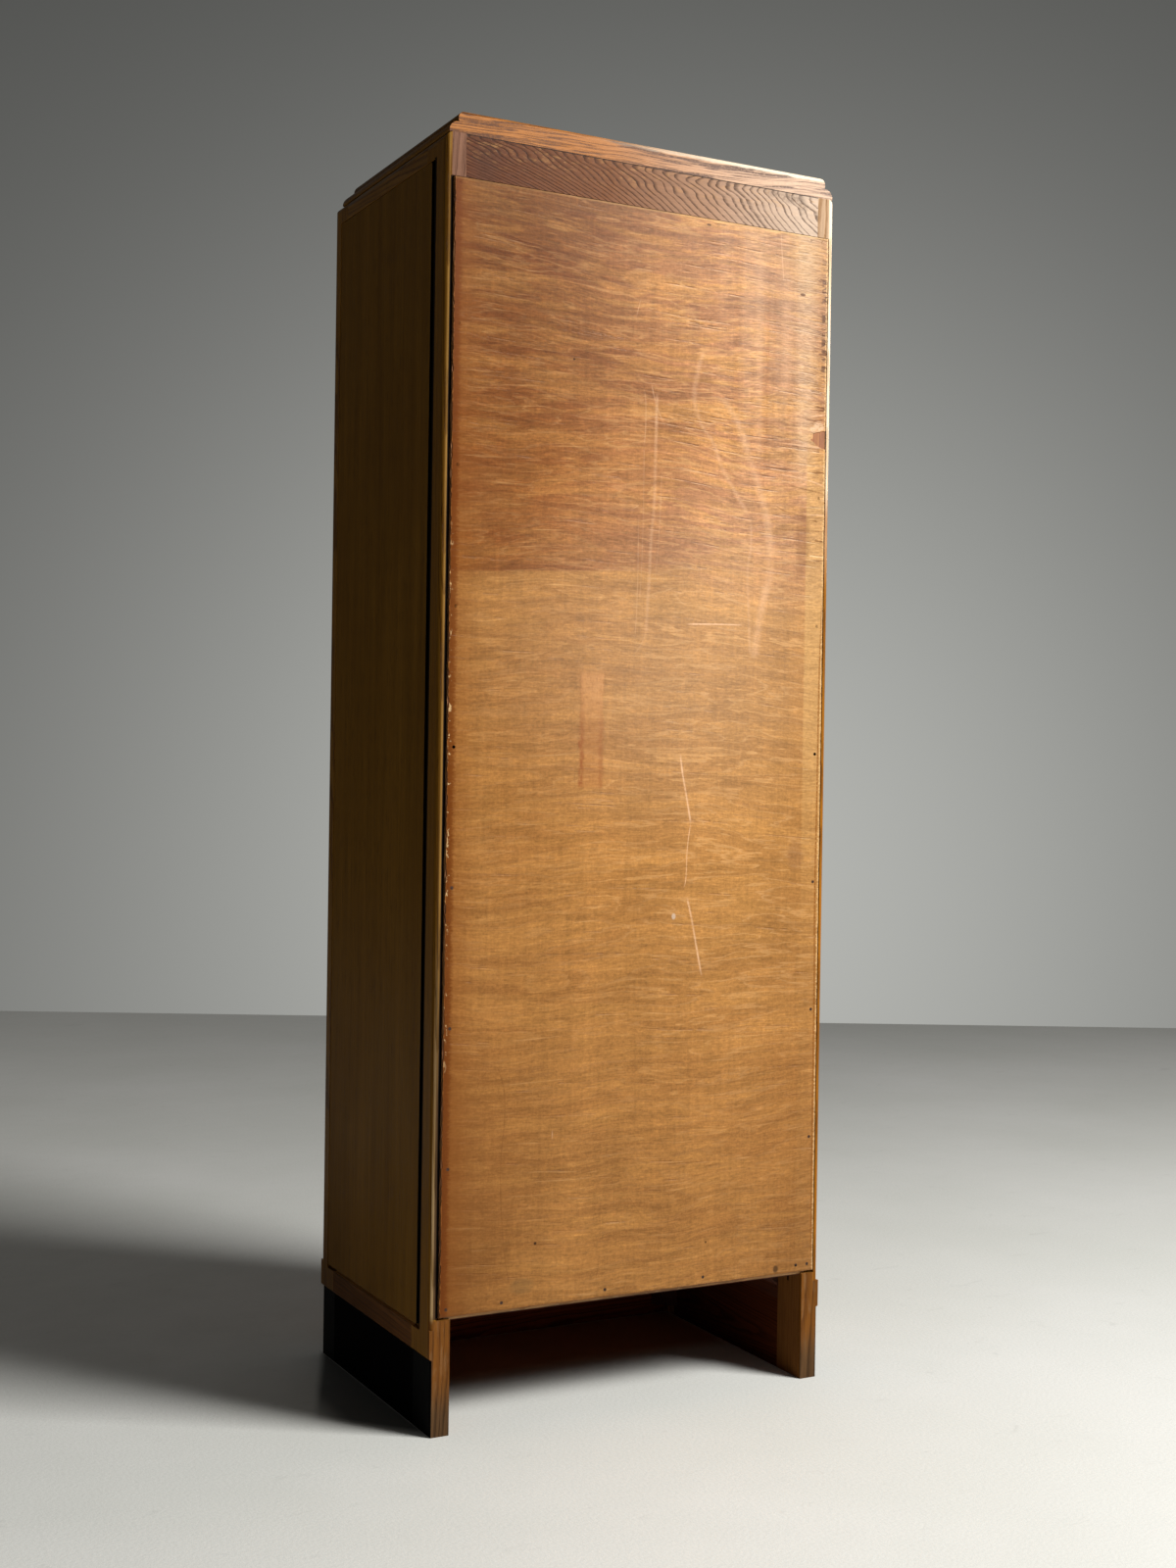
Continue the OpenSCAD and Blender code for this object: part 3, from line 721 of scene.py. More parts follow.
def topBoardFinish():
    made, point = newFinish("top_board_oak")
    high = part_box("top_board")[1]
    x, z = split(point, "XZ")
    look = oakLooks["golden"]
    rings = ringsOf(point, "top_board", "x", topEdge["board"])
    patchy = noise(point, (5, 5, 3), 4, 0.6)
    colour = coated(oakCoat(rings, look), (look["grime"], fade(patchy, 0.50, 0.78, 0, 0.35)),
                    (look["worn"], fade(edgeNear(point, "top_board"), 4 * mm, 0.5 * mm), 0.35))

    slope = (noise(point, (3.4, 1, 3.4), 2) - 0.5) * 0.030
    slid = lifted(point, slope + x * 0.03)
    broad = fade(noise(slid, (9, 1, 190), 3, 0.55, 0.5), 0.51, 0.60)
    thin = fade(noise(slid, (8, 1, 520), 3, 0.6, 0.3), 0.50, 0.60)
    grit = noise(point, (260, 200, 620), 3, 0.65)
    dark = calc("MAXIMUM", broad * 0.95, thin * 0.85) * fade(grit, 0.30, 0.55, 0.45, 1)
    ragged = (noise(point, (26, 1, 30), 4, 0.6) - 0.5) * 0.007
    # painted highlight along the upper arris, and painted sheen paling the edge towards the left end
    arrisHighlight = fade(z + ragged, high.z - 6.5 * mm, high.z - 4 * mm) * fade(x, 0.12, -0.20)
    edge = over(topEdge["base"], topEdge["pale"], fade(x, 0.12, -0.24, 0, 0.65))
    edge = coated(shaded(edge, varyLess(grit, 0.84, 1.14)),
                  (topEdge["streak"], dark, spread(x, -0.28, 0.1, 0.92, 0.88)), (topEdge["arrisHighlight"], arrisHighlight, 0.85))
    colour = over(colour, edge, above("Y", high.y - 2.4 * mm, 0.5 * mm)(point))
    height = rings["Fibre"] * 0.35 - dark * 0.3
    return finishSurface(made, colour, varyLess(patchy, 0.36, 0.52), height, 0.25 * mm, 0.13)


def dressCross():
    for name, (board, look, others) in crossBoards.items():
        wearOak(name, "x", board, look, others)
    wear("rear_top_rail", railFinish())
    wear("top_board", topBoardFinish())
    for number in range(1, 5):
        shelf = {"pith": (0.4 * number, 0.05 - 0.03 * number, 0.07), "ring": 3.2}
        batten = {"pith": (0.3 * number, 0.03, 0.05), "ring": 2.8}
        wearOak("shelf_%d" % number, "x", shelf, "inside")
        wearOak("left_batten_%d" % number, "y", batten, "inside")
        wearOak("right_batten_%d" % number, "y", batten, "inside")
    for rack in ("left_front_rack", "left_rear_rack", "right_front_rack", "right_rear_rack"):
        wearOak(rack, "z", rackBoard, "inside", bevel=0.4)
    for name, look in glueBlocks.items():
        wearOak(name, "x", dict(rackBoard, ring=3.4), look, bevel=0.8)


dressCross()
print("rails, boards, shelves and racks dressed")


# Plywood of the side panels: sliced oak with a fine straight grain, varnished like the frames

sidePanels = {"right_panel": (0, 0, 0), "left_panel": (3.1, 1.7, 0.6)}  # where in the log each is cut
panelTones = [(0.30, "684513"), (0.48, "755017"), (0.60, "7d561b"), (0.75, "6e4a15")]


def panelFinish(node, shift):
    made, point = newFinish(node + "_plywood")
    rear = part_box(node)[1].y
    wavy = noise(point, (9, 9, 0.9), 3, 0.5, 0, shift)
    bands = noise(point, (46, 46, 1.6), 4, 0.6, 0.15, shift)
    lines = noise(point, (310, 310, 5), 3, 0.6, 0, shift)
    dashes = fade(noise(point, (900, 900, 26), 1, 0.5, 0, shift), 0.58, 0.68)
    patchy = noise(point, (3, 3, 2), 4, 0.6, 0, shift)
    # painted shadow on the panel's rear edge, which lies in the gap by the stile
    gapEdgeShadow = fade(split(point, "Y")[0], rear - 1.4 * mm, rear - 0.7 * mm)
    colour = coated(shaded(ramp(bands * 0.6 + wavy * 0.4, panelTones), varyLess(lines, 0.80, 1.16)),
                    ("41260f", dashes, 0.5), ("5a3816", fade(patchy, 0.48, 0.76, 0, 0.35)), ("060302", gapEdgeShadow))
    return finishSurface(made, colour, varyLess(patchy, 0.30, 0.46), lines * 0.3 - dashes, 0.15 * mm, 0.05)


for panelName, panelShift in sidePanels.items():
    wear(panelName, panelFinish(panelName, panelShift), 0.4)
print("side panels dressed")


# Back sheet: three veneers, the outer one rotary cut with its grain level

veneers = {
    "back_sheet": {"thick": 1.2 * mm, "rows": 488, "columns": 58, "nibble": 1.7 * mm, "lumps": 1},
    "back_core": {"thick": 2.6 * mm, "rows": 180, "columns": 20, "nibble": 0.9 * mm, "lumps": 1.4},
    "back_lining": {"thick": 1.2 * mm, "rows": 120, "columns": 20, "nibble": 0.7 * mm, "lumps": 1.7},
}
chip = {"low": 1323 * mm, "high": 1348 * mm, "reach": 30 * mm}  # veneer lost at the left edge
tones.update({
    "high": "7f4b22", "top": "663817", "highPale": "a7744e", "low": "9b6a38", "lowPale": "a77742",
    "flame": "b98546", "shadow": "623819", "pale": "cf9f68", "lip": "dfb286", "milky": "cfae90",
    "corner": "c99a58", "nick": "4a2a14", "haze": "ecd3b2", "band": "bd9259", "bandLip": "f0d4a4",
    "bandCrack": "8a5a28", "patch": "a05f2c", "patchSide": "86471c", "patchWorn": "d49a60", "veil": "fff2e2",
    "burn": "68380d", "dull": "5f3622", "scratch": "dcb08a", "pencil": "5a3315",
})

# Zones of the back in mm: what each shows comes in from the first x to the second, and so with z
backZones = {
    "busy": ((100, -140), (1020, 1240)),
    "milky": ((-40, -200), (1160, 1460)),
    "worked": ((-60, -200), (1140, 1340)),
    "dimmed": ((-100, -220), (1280, 1420)),
    "splits": ((-255, -285), (1100, 1200)),
    "nicks": ((-280.5, -283.5), (1400, 1440)),
    "band": ((-258.5, -262.5), (1380, 1240)),
    "darkerSide": ((235, 290), (1000, 800)),
}
toneLine = ((283, 1115), (12, 1131))  # upper half redder, above a line that a shelf or board once drew
oldPatch = {"left": 63 * mm, "right": 93 * mm, "low": 838 * mm, "high": 990 * mm, "side": 5.8 * mm}

# Marks on the back: width in mm, strength, then x and z of the points that a mark runs through
paleMarks = {
    "longScratch": (4.6, 0.37, ((-15, 1374), (-14, 1295), (-13, 1228), (-9, 1178), (-7, 1128), (-4, 1067),
                                (-3, 1046))),
    "longTail": (2.6, 0.22, ((-3, 1050), (2, 1036), (16, 1017))),
    # the pale lines by the chip and the left cracks are painted highlights on the veneer's lifted edges
    "chipHighlight": (1.8, 1, ((-291, 1371), (-280, 1369), (-264, 1366))),
    "leftHighlightOne": (2.2, 0.8, ((-292, 1268), (-255, 1277), (-214, 1280))),
    "leftHighlightTwo": (1.8, 0.8, ((-292, 1228), (-256, 1227))),
    "leftHighlightThree": (1.8, 0.8, ((-291, 1324), (-221, 1324))),
    "slenderOne": (1.4, 0.24, ((-24, 1270), (-22, 1200), (-17, 1130))),
    "twinOne": (1.6, 0.3, ((11, 1205), (11, 1116), (14, 1040))),
    "twinTwo": (1.5, 0.24, ((4, 1300), (4, 1190), (8, 1090))),
    "outerArc": (12, 0.42, ((-118, 1378), (-149, 1336), (-161, 1308), (-179, 1263), (-197, 1202),
                              (-201, 1147), (-191, 1102), (-181, 1054), (-177, 1020))),
    "innerArc": (7, 0.32, ((-88, 1439), (-78, 1406), (-74, 1372), (-86, 1338), (-105, 1314), (-121, 1279),
                             (-140, 1252), (-163, 1219))),
    "fallingLine": (4.2, 0.34, ((-163, 1219), (-169, 1185), (-164, 1140), (-166, 1090), (-170, 1024))),
    "slantOne": (2.2, 0.4, ((-6, 1385), (-14, 1358), (-25, 1335))),
    "slantTwo": (1.8, 0.3, ((6, 1378), (2, 1345), (4, 1300))),
    "levelScore": (1.7, 1.9, ((-68, 1063), (-110, 1065), (-156, 1066))),
    "headLine": (1.8, 0.55, ((-211, 1618), (-213, 1590), (-217, 1549))),
    "rubOne": (12, 0.22, ((-174, 1590), (-176, 1565), (-178, 1420), (-180, 1285))),
    "rubTwo": (16, 0.2, ((-222, 1570), (-224, 1500), (-223, 1373))),
    "shortNick": (1.2, 0.8, ((22, 1213), (15, 1217), (9, 1222))),
    "upperNick": (1.2, 0.4, ((12, 1498), (19, 1472))),
    "crackHigh": (2.6, 1.25, ((-60, 884), (-64, 858), (-70, 830), (-78, 790))),
    "crackMid": (1.4, 0.9, ((-78, 790), (-73, 754), (-71, 711), (-66, 702))),
    "crackLow": (2.8, 0.95, ((-74, 688), (-83, 653), (-90, 620), (-99, 580))),
    "lowNick": (1.8, 0.9, ((128, 384), (128, 371))),
}
darkMarks = {
    "archRise": (1.2, 0.35, ((245, 428), (229, 463), (214, 475))),
    "archFall": (1.6, 0.38, ((214, 475), (204, 458), (198, 423), (203, 338), (200, 269), (191, 199),
                             (183, 181))),
    "lowSlant": (1.6, 0.35, ((52, 318), (40, 308), (16, 290), (-12, 250))),
    "lowUpright": (1.6, 0.30, ((59, 276), (54, 241), (60, 177))),
    "topUpright": (1.2, 0.3, ((55, 1552), (58, 1471))),
    "midUpright": (1.4, 0.25, ((50, 1240), (52, 1180), (51, 1120))),
    "edgeCrack": (1.2, 0.6, ((287, 1040), (262, 1038), (234, 1042))),
    "highCrack": (1.4, 0.7, ((-34, 1330), (-44, 1328), (-58, 1329))),
    "chipCrack": (2.2, 0.9, ((-290, 1366), (-275, 1361), (-253, 1362))),
    "leftCrackOne": (2, 0.8, ((-292, 1258), (-263, 1262), (-230, 1266))),
    "leftCrackTwo": (1.8, 0.7, ((-291, 1224), (-256, 1224), (-206, 1237))),
    "leftCrackThree": (1.6, 0.8, ((-291, 1205), (-256, 1204), (-207, 1203))),
    "leftCrackFour": (1.6, 0.7, ((-291, 1320), (-221, 1321), (-204, 1318))),
    "leftCrackFive": (1.8, 0.8, ((-231, 1289), (-205, 1288))),
}
liftedEdge = (2.6, 0.85, ((-290, 1110), (-288.5, 1066), (-286.5, 975), (-286, 840), (-285, 690),
                          (-286.5, 545), (-286.5, 400), (-287, 250), (-288, 175)))

# Stains: middle, width and height in mm, colour and strength
backStains = (
    ((-228, 161), 8, 10, "3f2a17", 0.8), ((-249, 1536), 9, 4, "4a2917", 0.8),
    ((-53, 663), 6, 8, "c8b7a6", 0.6), ((-255, 1190), 22, 90, "6e4a32", 0.35),
    ((-250, 745), 26, 40, "74503a", 0.3), ((-93, 1612), 7, 3, "3a2114", 0.8),
    ((170, 182), 34, 22, "6b5434", 0.35), ((112, 1405), 3, 3, "2e1a10", 0.9),
    ((151, 236), 4, 4, "2a170c", 0.9), ((-112, 211), 3, 3, "2a170c", 0.8),
)


def zone(x, z, name):
    (xFrom, xTo), (zFrom, zTo) = backZones[name]
    return fade(x, xFrom * mm, xTo * mm) * fade(z, zFrom * mm, zTo * mm)


def lineMask(x, z, mark, broken):
    wide, strong, points = mark
    acrossReach, upReach = (max(values) - min(values) for values in zip(*points))
    level = acrossReach > upReach
    line = sorted(points if level else [(up, across) for across, up in points])
    run, cross = (x, z) if level else (z, x)
    start, end = line[0][0], line[-1][0]
    values = [value for step, value in line]
    lowest, highest = min(values) - 1, max(values) + 1
    bend = put(run.tree, "FloatCurve", {"Value": spread(run, start * mm, end * mm)})
    curve = bend.mapping.curves[0]
    curve.points[0].location = (0, (values[0] - lowest) / (highest - lowest))
    curve.points[1].location = (1, (values[-1] - lowest) / (highest - lowest))
    for step, value in line[1:-1]:
        curve.points.new((step - start) / (end - start), (value - lowest) / (highest - lowest))
    bend.mapping.update()
    centre = Flow(bend.outputs[0]) * ((highest - lowest) * mm) + lowest * mm
    near = fade(abs(cross - centre), wide * mm * 0.9, 0)
    ends = fade(run, (start - 3) * mm, (start + 9) * mm) * fade(run, (end + 3) * mm, (end - 9) * mm)
    return product(near, ends, broken, strong)


def marksMask(x, z, marks, broken):
    masks = [lineMask(x, z, mark, broken) for mark in marks.values()]
    total = masks[0]
    for mask in masks[1:]:
        total = calc("MAXIMUM", total, mask)
    return total


def swayed(point, reach):
    # grain that wanders up and down a little along the sheet
    return lifted(point, (noise(point, (2.3, 1, 2), 2, 0.5) - 0.5) * reach)


def rotaryFigure(point):
    # contour lines of slow relief, feathered along the grain, as a peeled veneer shows them
    relief = noise(point, (4.4, 1, 30), 3, 0.5, 0.3)
    feather = (noise(point, (26, 20, 260), 4, 0.65) - 0.5) * 0.9
    count = relief * 8.5 + feather
    share = calc("FRACT", count)
    return fade(share, 0, 0.09) - fade(share, 0.09, 0.34), toneOf(count)


def backPatterns(point):
    # the noises that the face of the sheet is made up from
    x, z = split(point, "XZ")
    grain = swayed(point, 0.075)
    rim, tone = rotaryFigure(grain)
    busy = zone(x, z, "busy")
    gapped = fade(noise(point, (48, 20, 120), 3, 0.65), 0.40, 0.56)
    sloped = lifted(swayed(point, 0.03), x * -0.05)

    # cracks in the veneer: painted shadow in each, and just below it a painted highlight on its edge
    def checks(rise, dense):
        shape = noise(vector("ADD", sloped, (0, 0, rise)), (6.5, 20, 300), 2, 0.5, 0.1, (9, 0, 2))
        return fade(busy * 0.065 + shape, 0.65, dense) * gapped

    return SimpleNamespace(
        x=x, z=z, rim=rim, tone=tone, busy=busy, checks=checks(0, 0.71), litLips=checks(1.3 * mm, 0.73),
        fibre=noise(grain, (38, 60, 350), 4, 0.75),
        dashes=noise(grain, (75, 60, 420), 3, 0.75, 0, (5, 0, 1)),
        speckle=noise(point, (230, 60, 230), 3, 0.8),
        streak=noise(grain, (7, 20, 80), 4, 0.62, 0.4),
        flame=noise(grain, (7.5, 1, 52), 5, 0.62, 0.8, (2, 0, 5)),
        columns=noise(point, (13, 1, 0.9), 2, 0.5, 0, (6, 0, 2)),
        cloud=noise(point, (2.6, 1, 4.5), 4, 0.6),
        weave=noise(point, (120, 60, 7), 4, 0.8),
        light=fade(noise(grain, (9, 20, 250), 3, 0.6, 0.4, (3, 0, 7)), 0.60, 0.72),
        wander=(noise(point, (6, 1, 6), 3) - 0.5) * 0.012)


def backWood(seen):
    # bare figured wood, redder and darker above the tone line, and the mask of what is above it
    x, z, busy = seen.x, seen.z, seen.busy
    (xFrom, zFrom), (xTo, zTo) = toneLine
    lineHeight = spread(x, xFrom * mm, xTo * mm, zFrom * mm, zTo * mm)
    past = (z + seen.wander - lineHeight) / fade(x, 0.02, -0.16, 1.6 * mm, 50 * mm)
    upper = calc("MULTIPLY_ADD", past, 0.5, 0.5, clamp=True)
    # the wood grows paler towards the left side, most near the top: partly its own tone, partly painted sheen
    toLeft = fade(x + seen.wander * 6, 0.22, -0.20)
    topmost = fade(z, 1.18, 1.58)
    high = shaded(over(over("high", "top", topmost), "highPale", toLeft), between(topmost, 1, 0.90))
    low = over("low", "lowPale", toLeft, fade(z, 0.25, 0.80))
    colour = coated(over(low, high, upper),
                    ("flame", fade(seen.flame, 0.44, 0.61), between(busy, 0.20, 0.58)),
                    ("shadow", fade(seen.flame, 0.46, 0.36), between(busy, 0.04, 0.24)),
                    ("flame", fade(seen.tone, 0.45, 1), 0.10), ("shadow", fade(seen.tone, 0.40, 0), 0.13))
    colour = shaded(colour, spread(seen.fibre, 0.32, 0.68, 0.83, 1.16), vary(seen.dashes, 0.85, 1.15),
                    vary(seen.streak, 0.93, 1.07), vary(seen.cloud, 0.90, 1.10), vary(seen.weave, 0.90, 1.10),
                    vary(seen.speckle, 0.81, 1.18), vary(seen.columns, 0.92, 1.08))
    colour = shaded(colour, (seen.streak - 0.5) * between(busy, 0.35, 1) + 1)
    rimLight = product(seen.rim, fade(seen.streak, 0.32, 0.55), between(toLeft, 0.13, 0.44),
                       fade(z, 0.30, 0.75, 0.35, 1))
    # the cracks carry painted shadow, and their lower edges painted highlight
    return coated(colour, ("pale", rimLight), ("pale", seen.light, 0.30),
                  ("lip", seen.litLips, between(busy, 0.15, 0.45)),
                  ("shadow", seen.checks, between(busy, 0.45, 0.75))), upper


def sheenAndBand(colour, point, seen, upper):
    # painted sheen high on the left side, and the pale band down its edge, where something shielded the wood
    x, z, fibre, dashes = seen.x, seen.z, seen.fibre, seen.dashes
    bands = fade(noise(point, (34, 1, 1.1), 3, 0.55, 0, (1, 0, 3)), 0.34, 0.66)
    nicks = fade(noise(point, (30, 1, 150), 3, 0.7, 0, (7, 0, 3)), 0.50, 0.56)
    haze = product(fade(abs(x + 0.257), 0.034, 0), fade(z, 1.22, 1.34), vary(dashes, 0.4, 1))
    band = product(zone(x, z, "band"), fade(z, 0.60, 1, 0.10, 1), vary(fibre, 0.8, 1))
    bandWood = shaded("band", spread(fibre, 0.32, 0.68, 0.84, 1.16), vary(dashes, 0.84, 1.16),
                      vary(seen.speckle, 0.84, 1.16), vary(seen.streak, 0.90, 1.10))
    # painted sheen: the pale bands high up, the paler top corner and the soft pale streak by the edge
    colour = coated(colour, ("milky", zone(x, z, "milky"), bands, vary(fibre, 0.6, 1), 0.26),
                    ("corner", spot(x, z, (-262, 1585), 80, 90, 0.7), vary(fibre, 0.5, 1), 0.40),
                    ("nick", nicks, zone(x, z, "nicks"), fade(z, 1.60, 1.58), 0.85), ("haze", haze, 0.34),
                    # the band's cracks also carry painted highlight on their lower edges
                    (bandWood, band, 0.72), ("bandLip", band, seen.litLips, 0.6),
                    ("bandCrack", band, seen.checks, 0.5))
    # what the painted sheen smoothed over shows its fibres again
    keen = zone(x, z, "worked") * 0.50 + upper * 0.30
    return shaded(colour, keen * (dashes - 0.5 + (fibre - 0.5)) + 1)


def patchMark(colour, point, seen):
    # reddish rectangle left by an old patch, with ragged sides
    z = seen.z
    x = seen.x + (noise(point, (60, 1, 90), 4) - 0.5) * 0.010
    left, right, low, high, side = oldPatch.values()
    rightSide = fade(abs(x - right), side, 1 * mm)
    leftSide = fade(abs(x - left), side + 0.2 * mm, 1 * mm)
    tall = fade(z, low - 4 * mm, low + 4 * mm) * fade(z, high + 6 * mm, high - 5 * mm)
    within = product(fade(x, left - 3 * mm, left), fade(x, right + 3 * mm, right - 1 * mm), tall)
    crumbs = fade(noise(point, (260, 1, 110), 4, 0.7), 0.34, 0.56, 0.25, 1)
    sides = calc("MAXIMUM", rightSide, leftSide * 0.6)
    return coated(colour, ("patch", within, 0.26),
                  ("patchSide", sides, tall, crumbs, fade(z, 0.955, 0.89, 0.35, 1), 0.75),
                  ("patchWorn", within, fade(z, 0.92, 0.97), crumbs, 0.35))


def sheenAndDarkening(colour, seen):
    # a painted sheen over the middle, darker towards the foot and low down along both sides
    x, z, dashes = seen.x, seen.z, seen.dashes
    veil = spot(x, z, (-60, 1020), 400, 330, 0.9) * 0.066 + spot(x, z, (-210, 1190), 240, 200, 0.9) * 0.036
    lowDown = fade(z, 0.66, 0.38)
    burn = fade(x, 0.08, 0.275) * between(lowDown, 0.08, 0.44) + zone(x, z, "darkerSide") * 0.16
    burn = burn + fade(x, -0.15, -0.285) * between(lowDown, 0.13, 0.22)
    dull = spot(x, z, (262, 1215), 120, 110, 0.7)
    colour = coated(colour, ("veil", veil, vary(dashes, 0.7, 1.3)), ("burn", burn),
                    ("dull", dull, vary(dashes, 0.6, 1.2), 0.24))
    return shaded(colour, fade(z, 0.40, 0.17, 1, 0.91), fade(z, 1.52, 1.60, 1, 0.95),
                  1 - zone(x, z, "dimmed") * 0.07)


def backEdges(colour, point, seen):
    # dark ragged glue and dirt on the right edge, dirt at the foot, painted highlights on the top and left
    # edges
    x, z, right, left = seen.x, seen.z, backHigh.x, backLow.x
    fray = noise(point, (150, 30, 330), 5, 0.7)
    frayed = (fray - 0.5) * 0.016
    splinters = fade(noise(point, (160, 60, 110), 3, 0.6, 0.5), 0.585, 0.63)
    splinters = product(splinters, fade(z, 0.42, 0.55), fade(z, 1.20, 1.10))
    rim = fade(x + frayed * 0.5, right - 7 * mm, right - 4 * mm)
    splits = fade(noise(point, (24, 1, 130), 3, 0.6, 0.6, (2, 0, 4)), 0.60, 0.64)
    torn = calc("MAXIMUM", spot(x, z, (-280, 1353), 17, 15, 0.3), spot(x, z, (-271, 1348), 13, 8, 0.4))
    tornShape = fade(noise(point, (90, 1, 240), 4, 0.7, 1), 0.42, 0.48)
    # painted highlight along the sheet's top edge
    topEdgeHighlight = fade(z + frayed * 0.2, backHigh.z - 3.2 * mm, backHigh.z - 1.6 * mm)
    return coated(colour, ("7a4415", fade(x + frayed * 2, right - 55 * mm, right), 0.45),
                  ("622f08", fade(x + frayed, right - 15 * mm, right - 7 * mm), 0.80),
                  ("3c1a06", rim, 0.12), ("c9a878", rim, splinters, 0.85),
                  ("a86e36", fade(x + frayed * 0.3, right - 2.6 * mm, right - 1.2 * mm), 0.40),
                  ("5c3a1c", fade(z + frayed, backLow.z + 7 * mm, backLow.z - 1 * mm), 0.6),
                  ("5b3518", splits, zone(x, z, "splits"), 0.75), ("e0bf9f", torn, tornShape, 0.5),
                  ("d8b070", topEdgeHighlight, spread(x, 0.20, -0.15, 0.08, 0.30)),
                  ("7a4510", lineMask(x, z, liftedEdge, fade(fray, 0.36, 0.52))),
                  # painted highlight along the left edge, where the light catches it
                  ("e8c088", fade(x - frayed, left + 3 * mm, left + 0.5 * mm), 0.5))


def backFinish():
    made, point = newFinish("back_plywood_face")
    seen = backPatterns(point)
    x, z = seen.x, seen.z
    colour, upper = backWood(seen)
    colour = sheenAndBand(colour, point, seen, upper)
    colour = patchMark(colour, point, seen)
    colour = sheenAndDarkening(colour, seen)

    grit = noise(point, (240, 60, 240), 3, 0.7)
    faint = noise(point, (30, 1, 22), 3, 0.6, 0, (4, 0, 9))
    broken = product(fade(grit, 0.32, 0.56, 0.55, 1), vary(seen.fibre, 0.65, 1), vary(faint, 0.45, 1.15))
    pale = marksMask(x, z, paleMarks, broken)
    colour = coated(colour, ("scratch", pale), ("pencil", marksMask(x, z, darkMarks, broken)))
    for place, wide, tall, shade, strong in backStains:
        colour = over(colour, shade, spot(x, z, place, wide, tall), strong)
    colour = backEdges(colour, point, seen)

    rough = varyLess(noise(point, (4, 4, 3), 4, 0.6), 0.26, 0.36) + pale * 0.10
    height = seen.fibre * 0.5 + seen.streak * 0.35 + seen.weave * 0.15 - pale * 0.5 - seen.checks * 0.5
    return finishSurface(made, colour, rough, height, 0.25 * mm, 0.08)


def coreFinish():
    made, point = newFinish("back_plywood_core")
    fibre = noise(point, (430, 60, 14), 4, 0.65)
    layers = noise(point, (12, 900, 12), 2, 0.5)
    colour = ramp(fibre, [(0.28, "6b3c22"), (0.5, "96603c"), (0.72, "b88453")])
    colour = over(colour, "3a2213", fade(layers, 0.4, 0.7, 0, 0.4))
    return finishSurface(made, colour, vary(fibre, 0.6, 0.8), fibre, 0.4 * mm, 0.3)


def insideFinish():
    made, point = newFinish("back_plywood_inside")
    rim, tone = rotaryFigure(vector("ADD", point, (4, 0, 6)))
    fibre = noise(point, (11, 60, 420), 4, 0.65)
    cloud = noise(point, (2.2, 1, 4.5), 4, 0.6)
    colour = shaded(ramp(tone, [(0, "9c6c38"), (0.5, "a67540"), (1, "b1804a")]),
                    varyLess(fibre, 0.86, 1.12), vary(cloud, 0.9, 1.08), between(rim, 0.97, 1.10))
    return finishSurface(made, colour, vary(cloud, 0.38, 0.5), fibre, 0.2 * mm)


def raggedVeneer(name, layer, outerY):
    # a grid that stands upright, ragged at its edges
    nibble = layer["nibble"]
    wide, tall = backHigh.x - backLow.x - 2 * nibble, backHigh.z - backLow.z - 2 * nibble
    middle = (backLow + backHigh) / 2
    bpy.ops.mesh.primitive_grid_add(x_subdivisions=layer["columns"], y_subdivisions=layer["rows"], size=1,
                                    location=(middle.x, outerY, middle.z), rotation=(math.radians(-90), 0, 0))
    sheet = bpy.context.active_object
    sheet.name = name
    sheet.scale = (wide, tall, 1)
    bpy.ops.object.transform_apply(location=True, rotation=True, scale=True)
    farX, farZ = wide / 2 - 0.01 * mm, tall / 2 - 0.01 * mm
    sides = sheet.vertex_groups.new(name="sides")
    ends = sheet.vertex_groups.new(name="ends")
    vertices = sheet.data.vertices
    sides.add([v.index for v in vertices if abs(v.co.x - middle.x) > farX], 1, "REPLACE")
    ends.add([v.index for v in vertices if abs(v.co.z - middle.z) > farZ], 1, "REPLACE")
    # the left edge and the top are much straighter
    for vertex in vertices:
        if middle.x - vertex.co.x > farX:
            sides.add([vertex.index], 0.25, "REPLACE")
            vertex.co.x -= 0.8 * nibble
        if vertex.co.z - middle.z > farZ:
            ends.add([vertex.index], 0.05, "REPLACE")
            vertex.co.z += 0.95 * nibble
    for group, axis, strength, size in (("sides", "X", 2, 4 * mm), ("sides", "X", 1.3, 22 * mm),
                                        ("ends", "Z", 1.2, 12 * mm)):
        lumps = bpy.data.textures.new(name + "_" + group, "CLOUDS")
        lumps.noise_scale = size * layer["lumps"]
        push = sheet.modifiers.new("ragged", "DISPLACE")
        push.texture = lumps
        push.texture_coords = "LOCAL"
        push.direction = axis
        push.vertex_group = group
        push.strength = nibble * strength
        bpy.ops.object.modifier_apply(modifier=push.name)
    return sheet


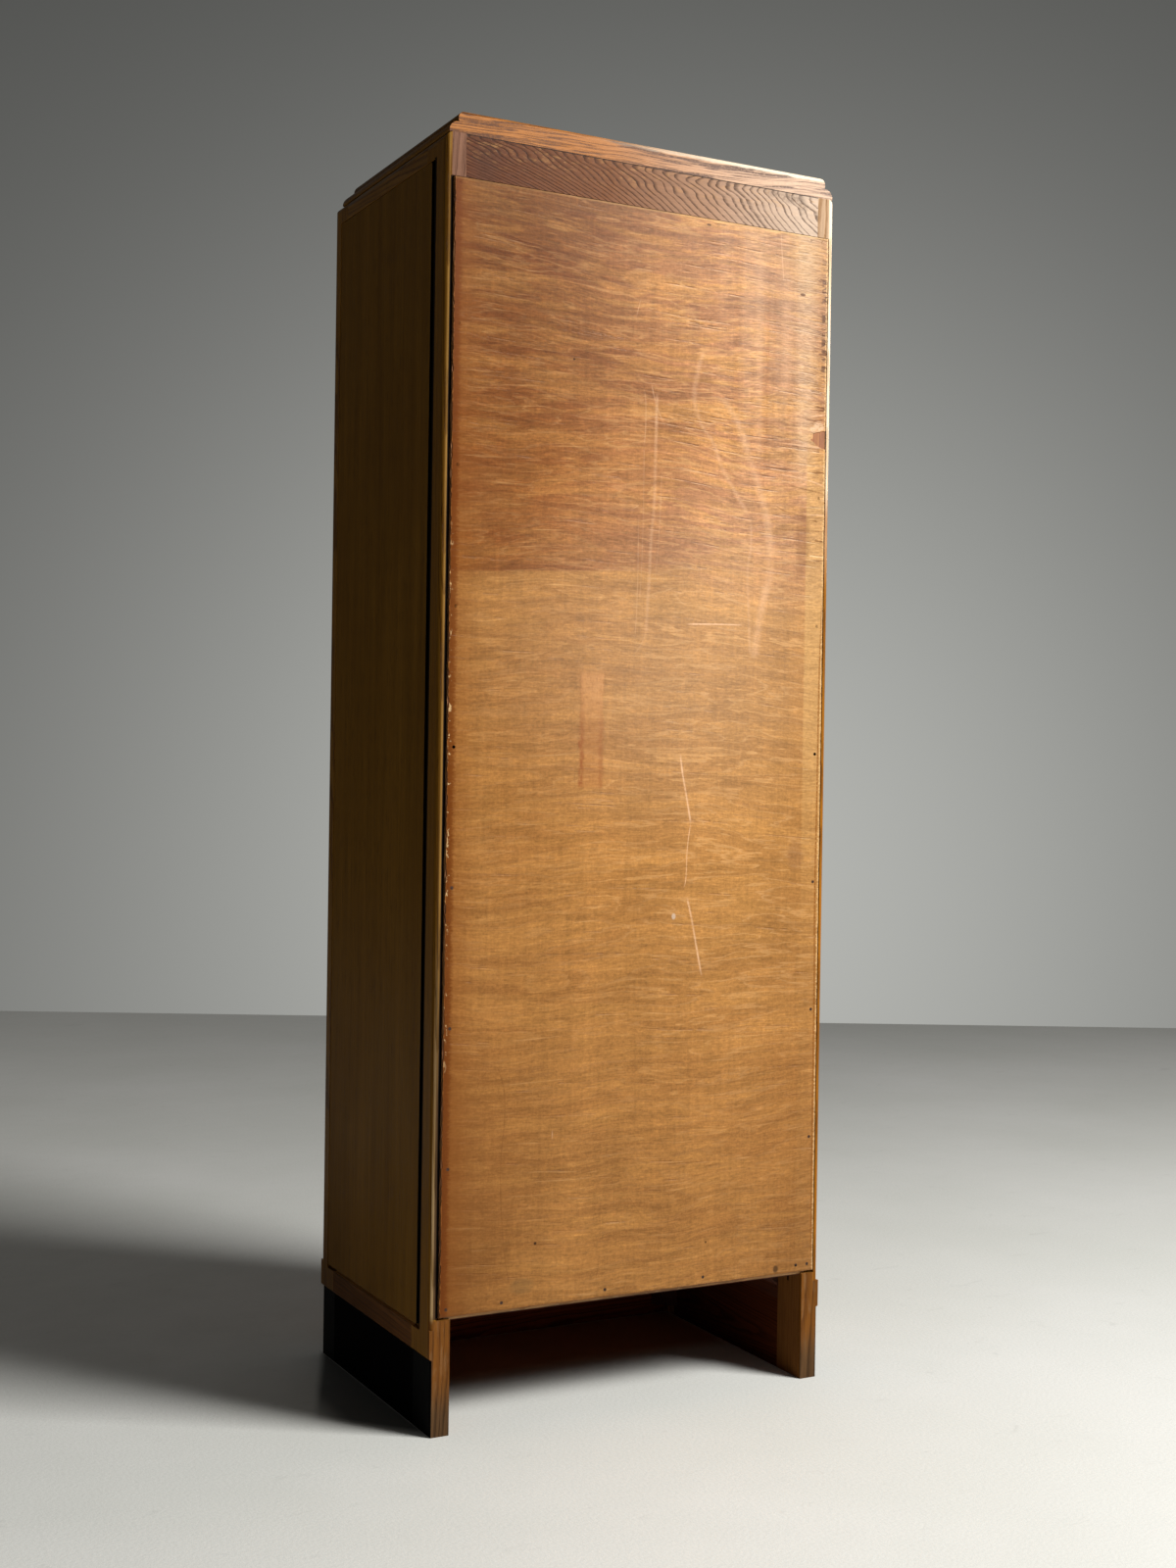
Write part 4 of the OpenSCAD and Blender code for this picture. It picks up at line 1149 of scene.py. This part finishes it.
def breakChip(face):
    middle, half = (chip["low"] + chip["high"]) / 2, (chip["high"] - chip["low"]) / 2
    reach = 4 * chip["reach"]
    for vertex in face.data.vertices:
        into = 1 - abs(vertex.co.z - middle) / half
        if into > 0 and vertex.co.x < backLow.x + reach:
            share = 1 - (vertex.co.x - backLow.x) / reach
            jag = 0.82 + 0.12 * math.sin(vertex.co.z * 2100) + 0.10 * math.sin(vertex.co.z * 760)
            vertex.co.x += chip["reach"] * (1 - (1 - into) ** 2) ** 0.5 * jag * share


def buildBack():
    sheets = []
    outerY = backHigh.y
    for (name, layer), finish in zip(veneers.items(), (backFinish, coreFinish, insideFinish)):
        sheet = raggedVeneer(name, layer, outerY)
        outerY -= layer["thick"]
        sheets.append(sheet)
        if name == "back_sheet":
            breakChip(sheet)
        shell = sheet.modifiers.new("thickness", "SOLIDIFY")
        shell.thickness = layer["thick"]
        shell.offset = -1
        bpy.ops.object.modifier_apply(modifier=shell.name)
        sheet.vertex_groups.clear()
        sheet.data.materials.append(finish())
    for sheet in sheets:
        sheet.select_set(True)
    face = sheets[0]
    bpy.context.view_layer.objects.active = face
    bpy.ops.object.join()
    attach(face, "case")
    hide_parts("back_panel")
    bpy.ops.object.select_all(action="DESELECT")
    print("back sheet:", len(face.data.polygons), "faces")


buildBack()


# Nails and screws

def metalFinish(name, bright, dull, rusty, metallic, roughness):
    made, point = newFinish(name)
    cloudy = noise(point, 300, 4, 0.6)
    rust = fade(noise(point, 700, 4, 0.6), 0.46, 0.62)
    colour = over(over(bright, dull, fade(cloudy, 0.35, 0.65)), rusty, rust, 0.6)
    rough = vary(cloudy, roughness - 0.1, roughness + 0.12) + rust * 0.2
    return finishSurface(made, colour, rough, cloudy, 0.2 * mm, metallic=metallic)


wear("back_nails", metalFinish("nail_iron", "3a2416", "22140a", "4a240f", 0, 0.7), 0)
wear("rack_screws", metalFinish("screw_brass", "a8874a", "77592c", "3f2d16", 1, 0.38), 0.15, 30)
print("fixings dressed")

# The fill lights only the case, so that the floor keeps its shadow
lit = bpy.data.collections.new("case_pieces")
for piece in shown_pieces():
    lit.objects.link(piece)
fillLight.light_linking.receiver_collection = lit
